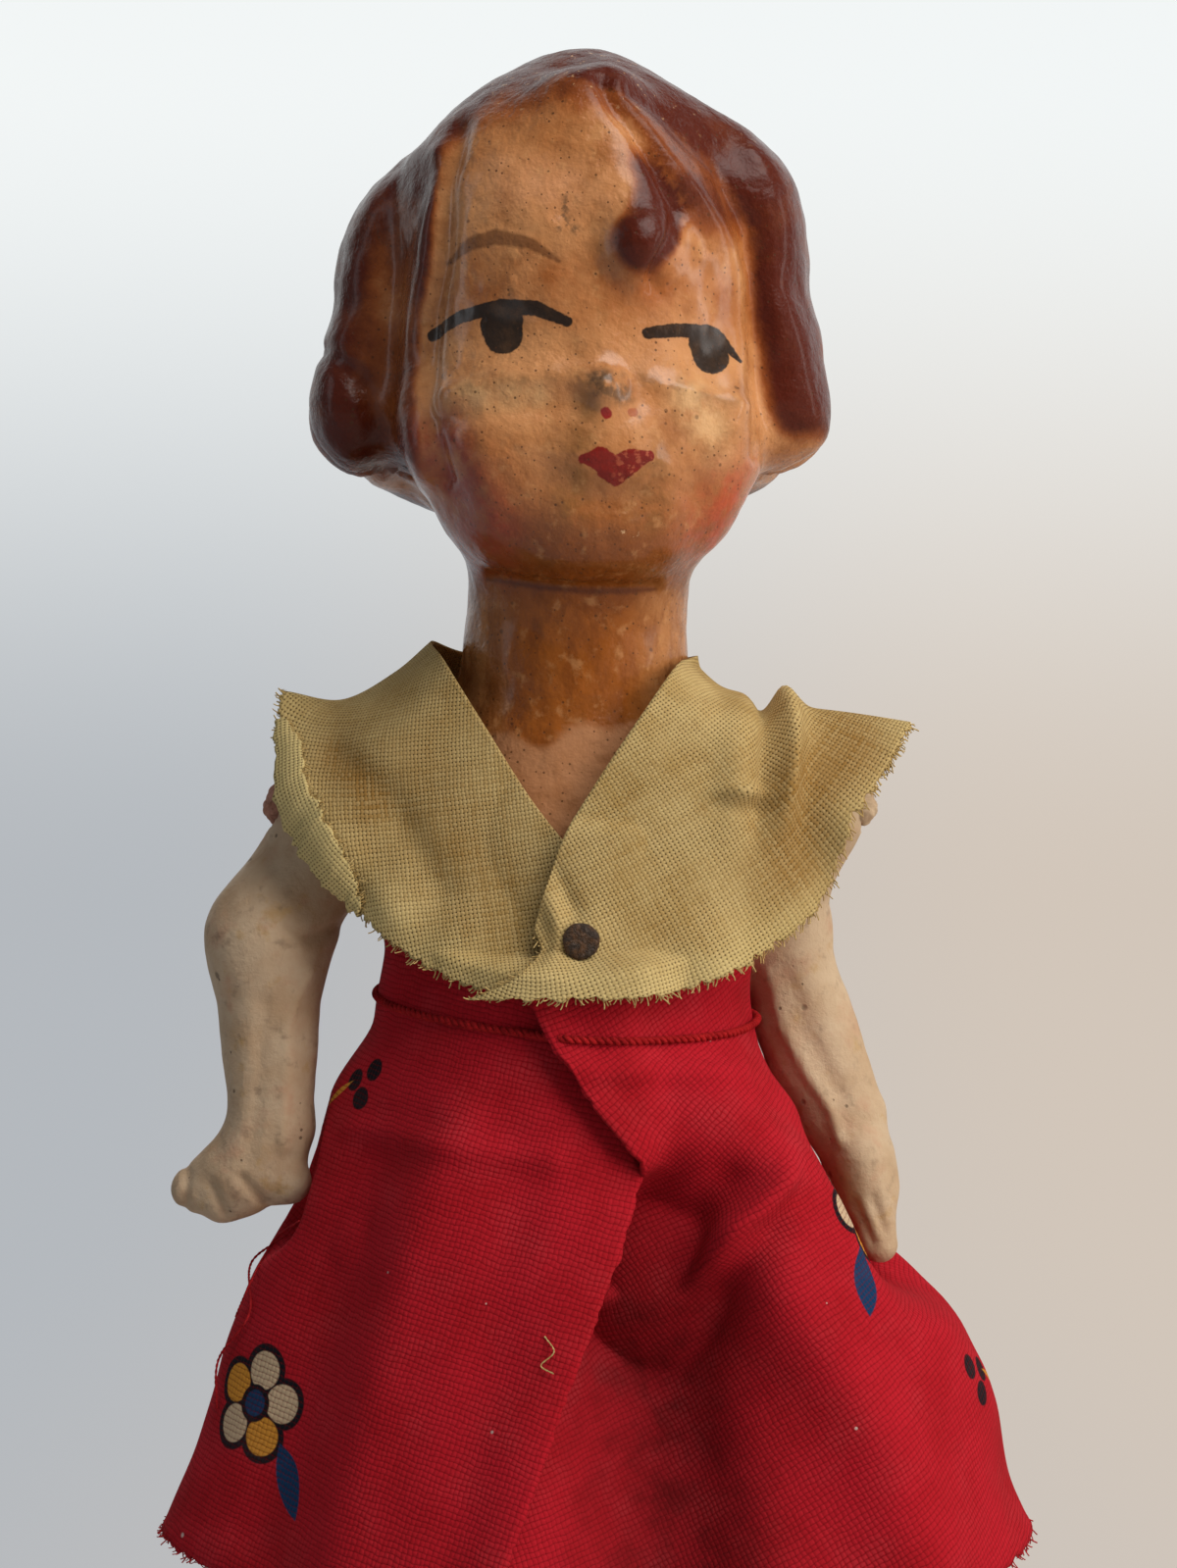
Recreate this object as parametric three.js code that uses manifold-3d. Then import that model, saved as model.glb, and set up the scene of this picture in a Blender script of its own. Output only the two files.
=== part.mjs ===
// Composition doll: a pressed head and torso, strung arms and legs, a tacked collar and a wrap skirt.
// Millimetres, +Z up, soles on z = 0. The doll looks along -Y, and its own left side is +X.
import * as THREE from "three";
import { mergeVertices } from "three/addons/utils/BufferGeometryUtils.js";
import Module from "manifold-3d";

const wasm = await Module();
wasm.setup();

// Heights above the floor, with the waist, shoulders and head each measured from the level below
const ANKLE_HEIGHT = 27;
const KNEE_HEIGHT = 92;
const HIP_HEIGHT = 146;
const WAIST_RISE = 29;
const SHOULDER_RISE = 28.5;
const HEAD_RISE = 59.5;
const WAIST_HEIGHT = HIP_HEIGHT + WAIST_RISE;
const SHOULDER_HEIGHT = WAIST_HEIGHT + SHOULDER_RISE;
const HEAD_HEIGHT = SHOULDER_HEIGHT + HEAD_RISE;

// Head and torso moulding
const HEAD_TURN = 9;
const SKULL_HALF_WIDTH = 24;
const FACE_HALF_WIDTH = 22;
const HAIR_LOCK_RADIUS = 9.4;
const NECK_RADIUS = 14;
const CHEST_HALF_WIDTH = 23.5;
const CHEST_HALF_DEPTH = 16.5;
const BELLY_HALF_WIDTH = 21.5;
const BELLY_HALF_DEPTH = 17.5;
const SHELL_WALL = 3.2;
const SEAM_GAP = 0.3;
const SHOULDER_FACE = 26.5;
const HIP_FACE = 9;
const HIP_SHELF = 15.5;

// Limbs
const LIMB_GAP = 0.4;
const SHOULDER_CAP_RADIUS = 7.6;
const RIGHT_ELBOW_RADIUS = 7.4;
const LEFT_ELBOW_RADIUS = 5.6;
const WRIST_RADIUS = 5.3;
const LEG_OFFSET = 18;
const LEG_CAP_RADIUS = 14;
const THIGH_RADIUS = 11.2;
const KNEE_RADIUS = 8.8;
const CALF_RADIUS = 9.4;
const ANKLE_RADIUS = 6.8;
const SHOE_HALF_WIDTH = 9.6;
const SHOE_TOE = 29;
const SHOE_HEEL = 17;

// Arm joints and hand lumps, as distances out from the shoulder's face, back and up from the string
const RIGHT_ELBOW = [12, -1, -17.5];
const RIGHT_WRIST = [11.4, -3, -41];
const RIGHT_FIST = [
  [[11.4, -3, -42], [15, -3, -47.5], 5, 5.2],
  [[14, -3, -46], [21, -3, -49.5], 4, 3],
  [[13, -4, -47], [17.4, -4, -51], 3.6, 2.8],
  [[12, -4, -45], [9, -4, -48.5], 4.2, 2.8],
];
const LEFT_ELBOW = [4.4, 6.5, -17];
const LEFT_WRIST = [8.9, 4, -40];
const LEFT_HAND = [
  [[9.2, 3.5, -42], [11.4, 2, -50], 5, 4.2],
  [[10.8, -0.5, -46], [12.8, -1, -57], 3.6, 2.3],
  [[10.8, 4, -46], [12.6, 3, -55.5], 3.6, 2.4],
];

// Stringing
const CORD_RADIUS = 1.2;
const CORD_CLEARANCE = 0.5;
const KNOT_RADIUS = 2.5;
const KNOT_POCKET = 4.2;
const ARM_POCKET_DEPTH = 3.2;
const LEG_POCKET_DEPTH = 4.5;
const END_GAP = 0.4;

// Collar
const COLLAR_THICK = 0.8;
const COLLAR_CLEARANCE = 1.1;
const LAP_LIFT = 1.9;
const NAPE_GAP = 0.5;

// Tack
const TACK_HEAD_RADIUS = 2.25;
const TACK_HEAD_THICK = 1;
const TACK_SHANK_RADIUS = 0.6;
const TACK_LENGTH = 10;
const TACK_HOLE_CLEARANCE = 0.4;
const TACK_ACROSS = 1.4;
const TACK_DROP = 16.8;
const TACK_HEIGHT = SHOULDER_HEIGHT - TACK_DROP;

// Skirt and its cord
const SKIRT_RISE_SIDE = 12;
const SKIRT_RISE_FRONT = 6.5;
const SKIRT_LENGTH = 72;
const HEM_LIFT = 7.5;
const SKIRT_TOP_SIDE = WAIST_HEIGHT + SKIRT_RISE_SIDE;
const SKIRT_TOP_FRONT = WAIST_HEIGHT + SKIRT_RISE_FRONT;
const SKIRT_HEM_FRONT = WAIST_HEIGHT - SKIRT_LENGTH;
const SKIRT_HEM_SIDE = SKIRT_HEM_FRONT + HEM_LIFT;
const SKIRT_THICK = 0.9;
const TOP_HALF_WIDTH = 23.4;
const WAIST_HALF_WIDTH = 25;
const WAIST_HALF_DEPTH = 21.2;
const HEM_RIGHT = 50.5;
const HEM_LEFT = 59;
const HEM_FRONT = 33;
const HEM_BACK = 33;
const SKIRT_CLEARANCE = 1;
const HAND_CLEARANCE = 1.5;
const HAND_ROOM_BELOW = 3.5;
const LAYER = 1.8;
const LAP_DROP = 16;
const TIE_RADIUS = 0.55;
const TIE_CLEARANCE = 0.9;
const TIE_RISE_BACK = 4.8;
const TIE_SLANT = 1.6;
const KNOT_TURN = 6;

// Mesh steps
const BODY_CELL = 5.6;
const SHELL_CELL = 7.6;
const ARM_CELL = 2.8;
const LEG_CELL = 5.6;
const KNOT_CELL = 1.25;

const DEG = Math.PI / 180;
const clamp = (t) => Math.min(1, Math.max(0, t));
const mix = (a, b, t) => a + (b - a) * t;
const ease = (a, b, v) => {
  const t = clamp((v - a) / (b - a));
  return t * t * (3 - 2 * t);
};

// Moulded forms: soft joins of round lumps and tapering limbs
const lump = (at, half, soft) => ({ at, half, soft });
const limb = (from, to, start, end, soft) => ({ from, to, start, end, soft });

function distance(part, x, y, z) {
  if (part.half) {
    const [a, b, c] = part.half;
    const p = (x - part.at[0]) / a;
    const q = (y - part.at[1]) / b;
    const r = (z - part.at[2]) / c;
    const near = Math.hypot(p, q, r);
    const slope = Math.hypot(p / a, q / b, r / c);
    return slope < 1e-9 ? -Math.min(a, b, c) : (near * (near - 1)) / slope;
  }
  const along = part.to.map((v, i) => v - part.from[i]);
  const off = [x - part.from[0], y - part.from[1], z - part.from[2]];
  const dot = along[0] * off[0] + along[1] * off[1] + along[2] * off[2];
  const size = along[0] ** 2 + along[1] ** 2 + along[2] ** 2;
  const t = clamp(dot / size);
  const away = Math.hypot(off[0] - t * along[0], off[1] - t * along[1], off[2] - t * along[2]);
  return away - mix(part.start, part.end, t);
}

function soften(a, b, soft) {
  const h = Math.max(soft - Math.abs(a - b), 0) / soft;
  return Math.min(a, b) - (h * h * soft) / 4;
}

function fieldOf(parts) {
  return (x, y, z) => {
    let d = distance(parts[0], x, y, z);
    for (const part of parts.slice(1)) d = soften(d, distance(part, x, y, z), part.soft);
    return d;
  };
}

function slopeOf(field, x, y, z) {
  const e = 0.05;
  return [
    (field(x + e, y, z) - field(x - e, y, z)) / (2 * e),
    (field(x, y + e, z) - field(x, y - e, z)) / (2 * e),
    (field(x, y, z + e) - field(x, y, z - e)) / (2 * e),
  ];
}

// The surface where a form's field is zero, meshed on a grid and drawn onto the form
function surfaceNet(field, low, high, cell) {
  const n = low.map((v, i) => Math.ceil((high[i] - v) / cell) + 1);
  const index = (i, j, k) => i + n[0] * (j + n[1] * k);
  const values = new Float64Array(n[0] * n[1] * n[2]);
  for (let k = 0; k < n[2]; k++)
    for (let j = 0; j < n[1]; j++)
      for (let i = 0; i < n[0]; i++)
        values[index(i, j, k)] = field(low[0] + i * cell, low[1] + j * cell, low[2] + k * cell);
  const points = [];
  const faces = [];
  const ids = new Map();
  const corner = (i, j, k) => {
    const key = index(i, j, k);
    if (ids.has(key)) return ids.get(key);
    const sum = [0, 0, 0];
    let hits = 0;
    for (let axis = 0; axis < 3; axis++)
      for (let u = 0; u < 2; u++)
        for (let v = 0; v < 2; v++) {
          const a = [i, j, k];
          a[(axis + 1) % 3] += u;
          a[(axis + 2) % 3] += v;
          const b = a.slice();
          b[axis] += 1;
          const f = values[index(...a)];
          const g = values[index(...b)];
          if (f < 0 === g < 0) continue;
          const t = f / (f - g);
          for (let c = 0; c < 3; c++) sum[c] += low[c] + cell * mix(a[c], b[c], t);
          hits += 1;
        }
    let p = sum.map((v) => v / hits);
    for (let pass = 0; pass < 3; pass++) {
      const s = slopeOf(field, ...p);
      const d = field(...p) / Math.max(s[0] ** 2 + s[1] ** 2 + s[2] ** 2, 0.05);
      const step = Math.max(-cell / 3, Math.min(cell / 3, d));
      p = p.map((v, c) => v - step * s[c]);
    }
    ids.set(key, points.length / 3);
    points.push(...p);
    return ids.get(key);
  };
  for (let axis = 0; axis < 3; axis++) {
    const b = (axis + 1) % 3;
    const c = (axis + 2) % 3;
    for (let k = 1; k < n[2] - 1; k++)
      for (let j = 1; j < n[1] - 1; j++)
        for (let i = 1; i < n[0] - 1; i++) {
          const at = [i, j, k];
          const to = at.slice();
          to[axis] += 1;
          const f = values[index(...at)] < 0;
          if (f === values[index(...to)] < 0) continue;
          const ring = [[-1, -1], [0, -1], [0, 0], [-1, 0]].map(([u, v]) => {
            const q = at.slice();
            q[b] += u;
            q[c] += v;
            return corner(...q);
          });
          if (!f) ring.reverse();
          faces.push(ring[0], ring[1], ring[2], ring[0], ring[2], ring[3]);
        }
  }
  return { points, faces };
}

// Whether each edge joins just two faces, one each way round
function evenEdges(faces) {
  const seen = new Set();
  for (let i = 0; i < faces.length; i++) {
    const next = i % 3 === 2 ? i - 2 : i + 1;
    const key = faces[i] + "_" + faces[next];
    if (seen.has(key)) return false;
    seen.add(key);
  }
  return true;
}

// The box that holds a form's lumps and limbs, with room for the grid
function roomFor(parts, cell) {
  const low = [Infinity, Infinity, Infinity];
  const high = [-Infinity, -Infinity, -Infinity];
  for (const part of parts) {
    const reach = part.half || Array(3).fill(Math.max(part.start, part.end));
    for (const at of part.half ? [part.at] : [part.from, part.to])
      for (let c = 0; c < 3; c++) {
        low[c] = Math.min(low[c], at[c] - reach[c] - 2.5 * cell);
        high[c] = Math.max(high[c], at[c] + reach[c] + 2.5 * cell);
      }
  }
  return [low, high];
}

// The grid moves a little until the form's surface comes out as one clean closed skin
function mould(field, parts, cell) {
  const [low, high] = roomFor(parts, cell);
  let made;
  for (let pass = 0; pass < 12; pass++) {
    made = surfaceNet(field, low.map((v, i) => v - (0.07 + 0.03 * i) * pass * cell), high, cell);
    if (evenEdges(made.faces)) break;
  }
  return closed(made.points, made.faces);
}

function closed(points, faces) {
  const geometry = new THREE.BufferGeometry();
  geometry.setAttribute("position", new THREE.Float32BufferAttribute(points, 3));
  geometry.setIndex(faces);
  return geometry;
}

// Solids are joined and cut here, then go back to three.js
function solid(geometry) {
  const bare = geometry.clone();
  bare.deleteAttribute("normal");
  bare.deleteAttribute("uv");
  const joined = mergeVertices(bare, 1e-4);
  return new wasm.Manifold(
    new wasm.Mesh({
      numProp: 3,
      vertProperties: new Float32Array(joined.attributes.position.array),
      triVerts: new Uint32Array(joined.index.array),
    }),
  );
}

function geometryOf(made) {
  const mesh = made.getMesh();
  const points = [];
  for (let i = 0; i < mesh.vertProperties.length; i += mesh.numProp)
    points.push(...mesh.vertProperties.slice(i, i + 3));
  return closed(points, Array.from(mesh.triVerts));
}

function block(low, high) {
  const size = high.map((v, i) => v - low[i]);
  const box = new THREE.BoxGeometry(...size);
  return solid(box.translate(...low.map((v, i) => v + size[i] / 2)));
}

function crossRod(x0, x1, y, z, radius) {
  const rod = new THREE.CylinderGeometry(radius, radius, x1 - x0, 14);
  return rod.rotateZ(Math.PI / 2).translate((x0 + x1) / 2, y, z);
}

// Head, hair, neck and torso
const turn = ([x, y, z]) => [
  x * Math.cos(HEAD_TURN * DEG) - y * Math.sin(HEAD_TURN * DEG),
  x * Math.sin(HEAD_TURN * DEG) + y * Math.cos(HEAD_TURN * DEG),
  z + HEAD_HEIGHT,
];
const up = ([x, y, z]) => [x, y, z + HEAD_HEIGHT];

const head = [
  lump(up([0, 2, 6]), [SKULL_HALF_WIDTH, 25, 30]),
  lump(turn([0, -5, -9]), [FACE_HALF_WIDTH, 21.5, 23.5], 8),
  lump(turn([-11.5, -13, -18]), [11, 11.5, 11], 9),
  lump(turn([11.5, -13, -18]), [11, 11.5, 11], 9),
  lump(turn([0, -16.5, -26]), [8, 8.5, 6.5], 8),
  lump(turn([-2, -10, 12]), [19, 15, 17], 8),
  lump(turn([0, -24.5, -16.2]), [6, 3.4, 4], 4),
  lump(turn([0, -26.8, -8.5]), [3.2, 3.6, 3.6], 3),
];

const hair = [
  limb(up([2, -2, 26]), up([19, -3, 16]), HAIR_LOCK_RADIUS + 1, HAIR_LOCK_RADIUS + 0.6, 5),
  limb(up([20.5, -3, 12]), up([24, -2, -9.5]), HAIR_LOCK_RADIUS, HAIR_LOCK_RADIUS, 4),
  limb(up([-18.5, -1, 12]), up([-24.2, -1, -9.5]), HAIR_LOCK_RADIUS, HAIR_LOCK_RADIUS, 4),
  limb(up([3, -17, 22]), up([9, -22, 10]), 7.5, 5.4, 4),
  lump(up([0, 10, 4]), [28, 19.5, 27], 8),
  limb(up([-17, 13, -7]), up([17, 13, -7]), 12.5, 12.5, 8),
];

const torso = [
  limb([0, 0, SHOULDER_HEIGHT + 9], [1.5, -2, HEAD_HEIGHT - 22], NECK_RADIUS + 0.6, NECK_RADIUS, 7),
  limb([-18, 1, SHOULDER_HEIGHT], [18, 1, SHOULDER_HEIGHT], 11.6, 11.6, 8),
  lump([0, -1, SHOULDER_HEIGHT - 10.5], [CHEST_HALF_WIDTH, CHEST_HALF_DEPTH, 20], 8),
  lump([0, -2, WAIST_HEIGHT - 2], [BELLY_HALF_WIDTH, BELLY_HALF_DEPTH, 20], 8),
  lump([0, 0, HIP_HEIGHT + HIP_SHELF], [24, 17, 17], 8),
  limb([0, 0, HIP_HEIGHT + 12], [0, 0, HIP_HEIGHT + 1], 13, 12, 6),
];

const bodyParts = [...head, ...hair, ...torso];
const bodyField = fieldOf(bodyParts);

// Arms, from the shoulder string outwards, each at its own set
function armParts(side, thick, elbow, wrist, hand) {
  const at = ([x, y, z]) => [side * (SHOULDER_FACE + LIMB_GAP + x), y, SHOULDER_HEIGHT + z];
  return [
    limb(at([0, 0, 0]), at([2.4, 0, 0]), SHOULDER_CAP_RADIUS, SHOULDER_CAP_RADIUS),
    limb(at([3, 0, -3]), at(elbow), SHOULDER_CAP_RADIUS - 0.6, thick, 5),
    limb(at(elbow), at(wrist), thick, WRIST_RADIUS, 4),
    ...hand.map(([from, to, start, end]) => limb(at(from), at(to), start, end, 4)),
  ];
}

const rightArm = armParts(-1, RIGHT_ELBOW_RADIUS, RIGHT_ELBOW, RIGHT_WRIST, RIGHT_FIST);
const leftArm = armParts(1, LEFT_ELBOW_RADIUS, LEFT_ELBOW, LEFT_WRIST, LEFT_HAND);
const rightArmField = fieldOf(rightArm);
const leftArmField = fieldOf(leftArm);

// Legs, with a rolled sock and a low shoe
function legParts(side) {
  const at = ([x, y, z]) => [side * (LEG_OFFSET + x), y, z];
  return [
    limb(at([-7, 0, HIP_HEIGHT]), at([-2, 0, HIP_HEIGHT]), LEG_CAP_RADIUS, LEG_CAP_RADIUS),
    limb(at([0, 0, HIP_HEIGHT - 4]), at([0, 0, KNEE_HEIGHT]), THIGH_RADIUS, KNEE_RADIUS, 6),
    limb(at([0, 0, KNEE_HEIGHT]), at([0, 1, ANKLE_HEIGHT]), KNEE_RADIUS, ANKLE_RADIUS, 5),
    lump(at([0, 2, mix(ANKLE_HEIGHT, KNEE_HEIGHT, 0.62)]), [CALF_RADIUS, CALF_RADIUS + 0.6, 20], 5),
    lump(at([0, 1, ANKLE_HEIGHT + 4]), [ANKLE_RADIUS + 2.2, ANKLE_RADIUS + 2.2, 3.6], 2),
    limb(at([0, 1, ANKLE_HEIGHT]), at([0, 2, 10]), ANKLE_RADIUS, ANKLE_RADIUS + 1, 4),
    limb(at([0, SHOE_HEEL - 8.5, 6]), at([0, 10 - SHOE_TOE, 5]), 8.5, SHOE_HALF_WIDTH, 5),
    lump(at([0, 12 - SHOE_TOE, 5.5]), [SHOE_HALF_WIDTH + 0.6, 12, 8.6], 4),
  ];
}

// Cloth: a net of points given thickness, with its edges closed
function cloth(rows, thick) {
  const m = rows.length;
  const n = rows[0].length;
  const at = (i, j) => new THREE.Vector3(...rows[i][j]);
  const points = [];
  const faces = [];
  for (const sign of [0.5, -0.5])
    for (let i = 0; i < m; i++)
      for (let j = 0; j < n; j++) {
        const u = at(Math.min(i + 1, m - 1), j).sub(at(Math.max(i - 1, 0), j));
        const v = at(i, Math.min(j + 1, n - 1)).sub(at(i, Math.max(j - 1, 0)));
        const normal = u.cross(v).normalize();
        points.push(...at(i, j).addScaledVector(normal, sign * thick).toArray());
      }
  const id = (layer, i, j) => layer * m * n + i * n + j;
  const quad = (a, b, c, d) => faces.push(a, b, c, a, c, d);
  for (let i = 0; i < m - 1; i++)
    for (let j = 0; j < n - 1; j++) {
      quad(id(0, i, j), id(0, i + 1, j), id(0, i + 1, j + 1), id(0, i, j + 1));
      quad(id(1, i, j), id(1, i, j + 1), id(1, i + 1, j + 1), id(1, i + 1, j));
    }
  for (let i = 0; i < m - 1; i++) {
    quad(id(0, i, 0), id(1, i, 0), id(1, i + 1, 0), id(0, i + 1, 0));
    quad(id(0, i, n - 1), id(0, i + 1, n - 1), id(1, i + 1, n - 1), id(1, i, n - 1));
  }
  for (let j = 0; j < n - 1; j++) {
    quad(id(0, 0, j), id(0, 0, j + 1), id(1, 0, j + 1), id(1, 0, j));
    quad(id(0, m - 1, j), id(1, m - 1, j), id(1, m - 1, j + 1), id(0, m - 1, j + 1));
  }
  return closed(points, faces);
}

function smoothNet(rows, m, n) {
  const across = rows.map((row) => new THREE.CatmullRomCurve3(row.map((p) => new THREE.Vector3(...p))));
  const net = [];
  for (let i = 0; i < m; i++) net.push([]);
  for (let j = 0; j < n; j++) {
    const column = new THREE.CatmullRomCurve3(across.map((curve) => curve.getPoint(j / (n - 1))));
    for (let i = 0; i < m; i++) net[i].push(column.getPoint(i / (m - 1)).toArray());
  }
  return net;
}

// Cloth points closer than their clearance to a form move out along its slope
function pushOff(p, field, clear) {
  let q = p;
  for (let pass = 0; pass < 6; pass++) {
    const d = clear(q) - field(...q);
    if (d <= 0.01) break;
    const s = slopeOf(field, ...q);
    const size = Math.hypot(...s) || 1;
    q = q.map((v, c) => v + (Math.min(d, 3) * s[c]) / size);
  }
  return q;
}

// Collar halves, from the lapped front to the nape, neckline first
const skirtTop = (x) => mix(SKIRT_TOP_FRONT, SKIRT_TOP_SIDE, clamp(Math.abs(x) / TOP_HALF_WIDTH) ** 2);
const overSkirt = ([x, , z]) => 3.4 * ease(skirtTop(x) + 4, skirtTop(x) + 0.5, z);
const lift = ([x, y, z]) => [x, y, z + SHOULDER_HEIGHT];

const collarRightNet = [
  [[2.5, -17.6, -9], [0.5, -18.5, -14], [-3, -20, -19], [-8, -21, -23.5]],
  [[-4.7, -16.5, 0.3], [-9, -17, -6.5], [-13.5, -18, -13.5], [-18, -18.5, -20]],
  [[-10.4, -15.5, 9.2], [-16, -15.5, 2], [-21.5, -15, -5.5], [-27, -13.5, -12.5]],
  [[-15.6, -11, 17.4], [-21, -12.5, 10], [-28, -12.5, 4], [-34.5, -11.5, -2.5]],
  [[-17.8, 0, 20.5], [-22.5, 0, 16.5], [-29.5, -1, 12.8], [-37, -2, 13.6]],
  [[-13.5, 11, 19.5], [-20, 14, 11.5], [-27, 14.5, 3.5], [-33, 13, -3.5]],
  [[-NAPE_GAP, 15.5, 18.5], [-NAPE_GAP, 18, 9.5], [-NAPE_GAP, 19, -0.5], [-NAPE_GAP, 19, -9.5]],
].map((row) => row.map(lift));

const collarLeftNet = [
  [[-4.3, -21, -15.5], [-3.5, -21.6, -18], [-6, -21.6, -21.5], [-11.5, -21.6, -24]],
  [[-0.9, -19.5, -4.8], [2.5, -20.5, -11.5], [6, -21, -17.5], [9.9, -21.3, -23.5]],
  [[3.5, -18.5, 2.8], [9, -19, -5], [14.5, -19, -13], [20, -19, -20.5]],
  [[8.6, -17, 10.4], [16, -17, 2.5], [23.5, -15.5, -5.5], [30.4, -13, -13.5]],
  [[12.4, -13, 15.9], [19.5, -14, 9.5], [27, -11.5, 3.5], [35.6, -13, -1.8]],
  [[14.6, -3, 18.5], [22.5, -2, 12], [32, -3, 11.5], [43, -5, 9.5]],
  [[12.5, 10, 18.5], [20, 14, 11.5], [27.5, 15, 3.5], [35, 13, -3.5]],
  [[NAPE_GAP, 15.5, 18.5], [NAPE_GAP, 18, 9.5], [NAPE_GAP, 19, -0.5], [NAPE_GAP, 19, -9.5]],
].map((row) => row.map(lift));

const rightSide = (x, y, z) => soften(bodyField(x, y, z), rightArmField(x, y, z), 5);
const leftSide = (x, y, z) => soften(bodyField(x, y, z), leftArmField(x, y, z), 5);
const lapped = ([x, , z]) => LAP_LIFT * ease(16, 8, x) * ease(SHOULDER_HEIGHT + 1, SHOULDER_HEIGHT - 4, z);

const collarRightRows = smoothNet(collarRightNet, 19, 9).map((row) =>
  row.map((p) => pushOff(p, rightSide, (q) => COLLAR_CLEARANCE + overSkirt(q))),
);
const collarLeftRows = smoothNet(collarLeftNet, 21, 9).map((row) =>
  row.map((p) => pushOff(p, leftSide, (q) => COLLAR_CLEARANCE + overSkirt(q) + lapped(q))),
);

// Skirt panels, by the angle from the front and the height
const stops = (list, z) => {
  for (let i = 1; i < list.length; i++)
    if (z >= list[i][0]) {
      const t = clamp((z - list[i][0]) / (list[i - 1][0] - list[i][0]));
      return mix(list[i][1], list[i - 1][1], t);
    }
  return list[list.length - 1][1];
};
const bump = (v, at, wide) => Math.exp(-(((v - at) / wide) ** 2));

// Where each panel's free front edge runs, as height above the waist and distance across
const edgeRight = [
  [12, 4],
  [3, 3],
  [-3, 6],
  [-12, 7.2],
  [-21, 6.4],
  [-35, 2.9],
  [-53, -4],
  [-72, -11],
];
const edgeLeft = [
  [12, -5.5],
  [5, -4.8],
  [-3, -2.4],
  [-8, 3],
  [-12, 8.8],
  [-21, 8.8],
  [-25, 1.5],
  [-53, -10],
  [-72, -17],
];

// How far a panel's folds stand out, by the angle and by the drop below the waist
function skirtFold(side, angle, z, flare) {
  const drop = WAIST_HEIGHT - z;
  const back = ease(95, 125, Math.abs(angle)) * 2.2 * flare * Math.cos(6 * angle * DEG);
  if (side < 0) {
    const wave = 1.8 * flare * Math.cos((angle + 12) * 5 * DEG) * (1 - ease(95, 125, -angle));
    const hip = 1.9 * bump(angle, -86, 26) * ease(0, 8, drop) * ease(54, 38, drop);
    return back + wave + hip;
  }
  const ridgeAt = mix(38, 56, ease(3, 28, drop));
  const ridge = 4.2 * bump(angle, ridgeAt, 15) * ease(1, 15, drop) * mix(1, 0.4, ease(25, 65, drop));
  const valleyAt = mix(20, 10, ease(20, 60, drop));
  const valley = -5.5 * bump(angle, valleyAt, 13) * ease(13, 23, drop) * mix(1, 0.25, ease(35, 67, drop));
  const hip = 4.4 * bump(angle, 106, 16) * ease(20, 34, drop) * ease(63, 49, drop);
  const belowHand = 4.4 * bump(angle, 78, 20) * ease(30, 38, drop) * ease(60, 42, drop);
  const over = LAYER * ease(26, 14, angle) * mix(1, -1, ease(LAP_DROP - 3, LAP_DROP + 3, drop));
  const roomAt = mix(96, 82, ease(7, 29, drop));
  const room = -7.6 * bump(angle, roomAt, 18) * ease(1, 20, drop) * ease(38, 27, drop);
  return back + ridge + valley + hip + belowHand + over + room;
}

function skirtPoint(side, angle, z) {
  const flare = clamp((WAIST_HEIGHT - z) / (WAIST_HEIGHT - SKIRT_HEM_SIDE));
  const waist = mix(WAIST_HALF_WIDTH, TOP_HALF_WIDTH, ease(WAIST_HEIGHT, SKIRT_TOP_SIDE, z));
  const wide = mix(waist, angle < 0 ? HEM_RIGHT : HEM_LEFT, flare);
  const deep = mix(WAIST_HALF_DEPTH, Math.abs(angle) < 90 ? HEM_FRONT : HEM_BACK, flare);
  const out = skirtFold(side, angle, z, flare);
  return [(wide + out) * Math.sin(angle * DEG), -(deep + out) * Math.cos(angle * DEG), z];
}

// A panel passes inside a hand that hangs against it
function clearOfHand(p, field) {
  let q = p;
  const near = () => Math.min(field(...q), field(q[0], q[1], q[2] + HAND_ROOM_BELOW));
  for (let pass = 0; pass < 30 && near() < HAND_CLEARANCE; pass++) {
    const size = Math.hypot(q[0], q[1]);
    q = [q[0] * (1 - 0.5 / size), q[1] * (1 - 0.5 / size), q[2]];
  }
  return q;
}

function skirtAt(side, angle, z) {
  const over = side > 0 ? LAYER * ease(26, 14, angle) * ease(LAP_DROP, LAP_DROP - 3, WAIST_HEIGHT - z) : 0;
  const off = pushOff(skirtPoint(side, angle, z), bodyField, () => SKIRT_CLEARANCE + over);
  return clearOfHand(off, side < 0 ? rightArmField : leftArmField);
}

function skirtRows(side, edge, m, n) {
  const rows = [];
  for (let i = 0; i < m; i++) {
    const row = [];
    for (let j = 0; j < n; j++) {
      const seam = side * 179.3;
      let z = mix(SKIRT_TOP_SIDE, SKIRT_HEM_SIDE, i / (m - 1));
      let angle = seam;
      for (let pass = 0; pass < 2; pass++) {
        const flare = clamp((WAIST_HEIGHT - z) / (WAIST_HEIGHT - SKIRT_HEM_SIDE));
        const wide = mix(WAIST_HALF_WIDTH, side < 0 ? HEM_RIGHT : HEM_LEFT, flare);
        const front = Math.asin(stops(edge, z - WAIST_HEIGHT) / wide) / DEG;
        angle = mix(seam, front, j / (n - 1));
        const hem = mix(SKIRT_HEM_SIDE, SKIRT_HEM_FRONT, Math.cos(angle * DEG) ** 2);
        const top = Math.abs(angle) < 90 ? skirtTop(TOP_HALF_WIDTH * Math.sin(angle * DEG)) : SKIRT_TOP_SIDE;
        z = mix(top, hem, i / (m - 1));
      }
      row.push(skirtAt(side, angle, z));
    }
    rows.push(row);
  }
  return rows;
}

const skirtRightRows = skirtRows(-1, edgeRight, 13, 20);
const skirtLeftRows = skirtRows(1, edgeLeft, 13, 22);

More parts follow.
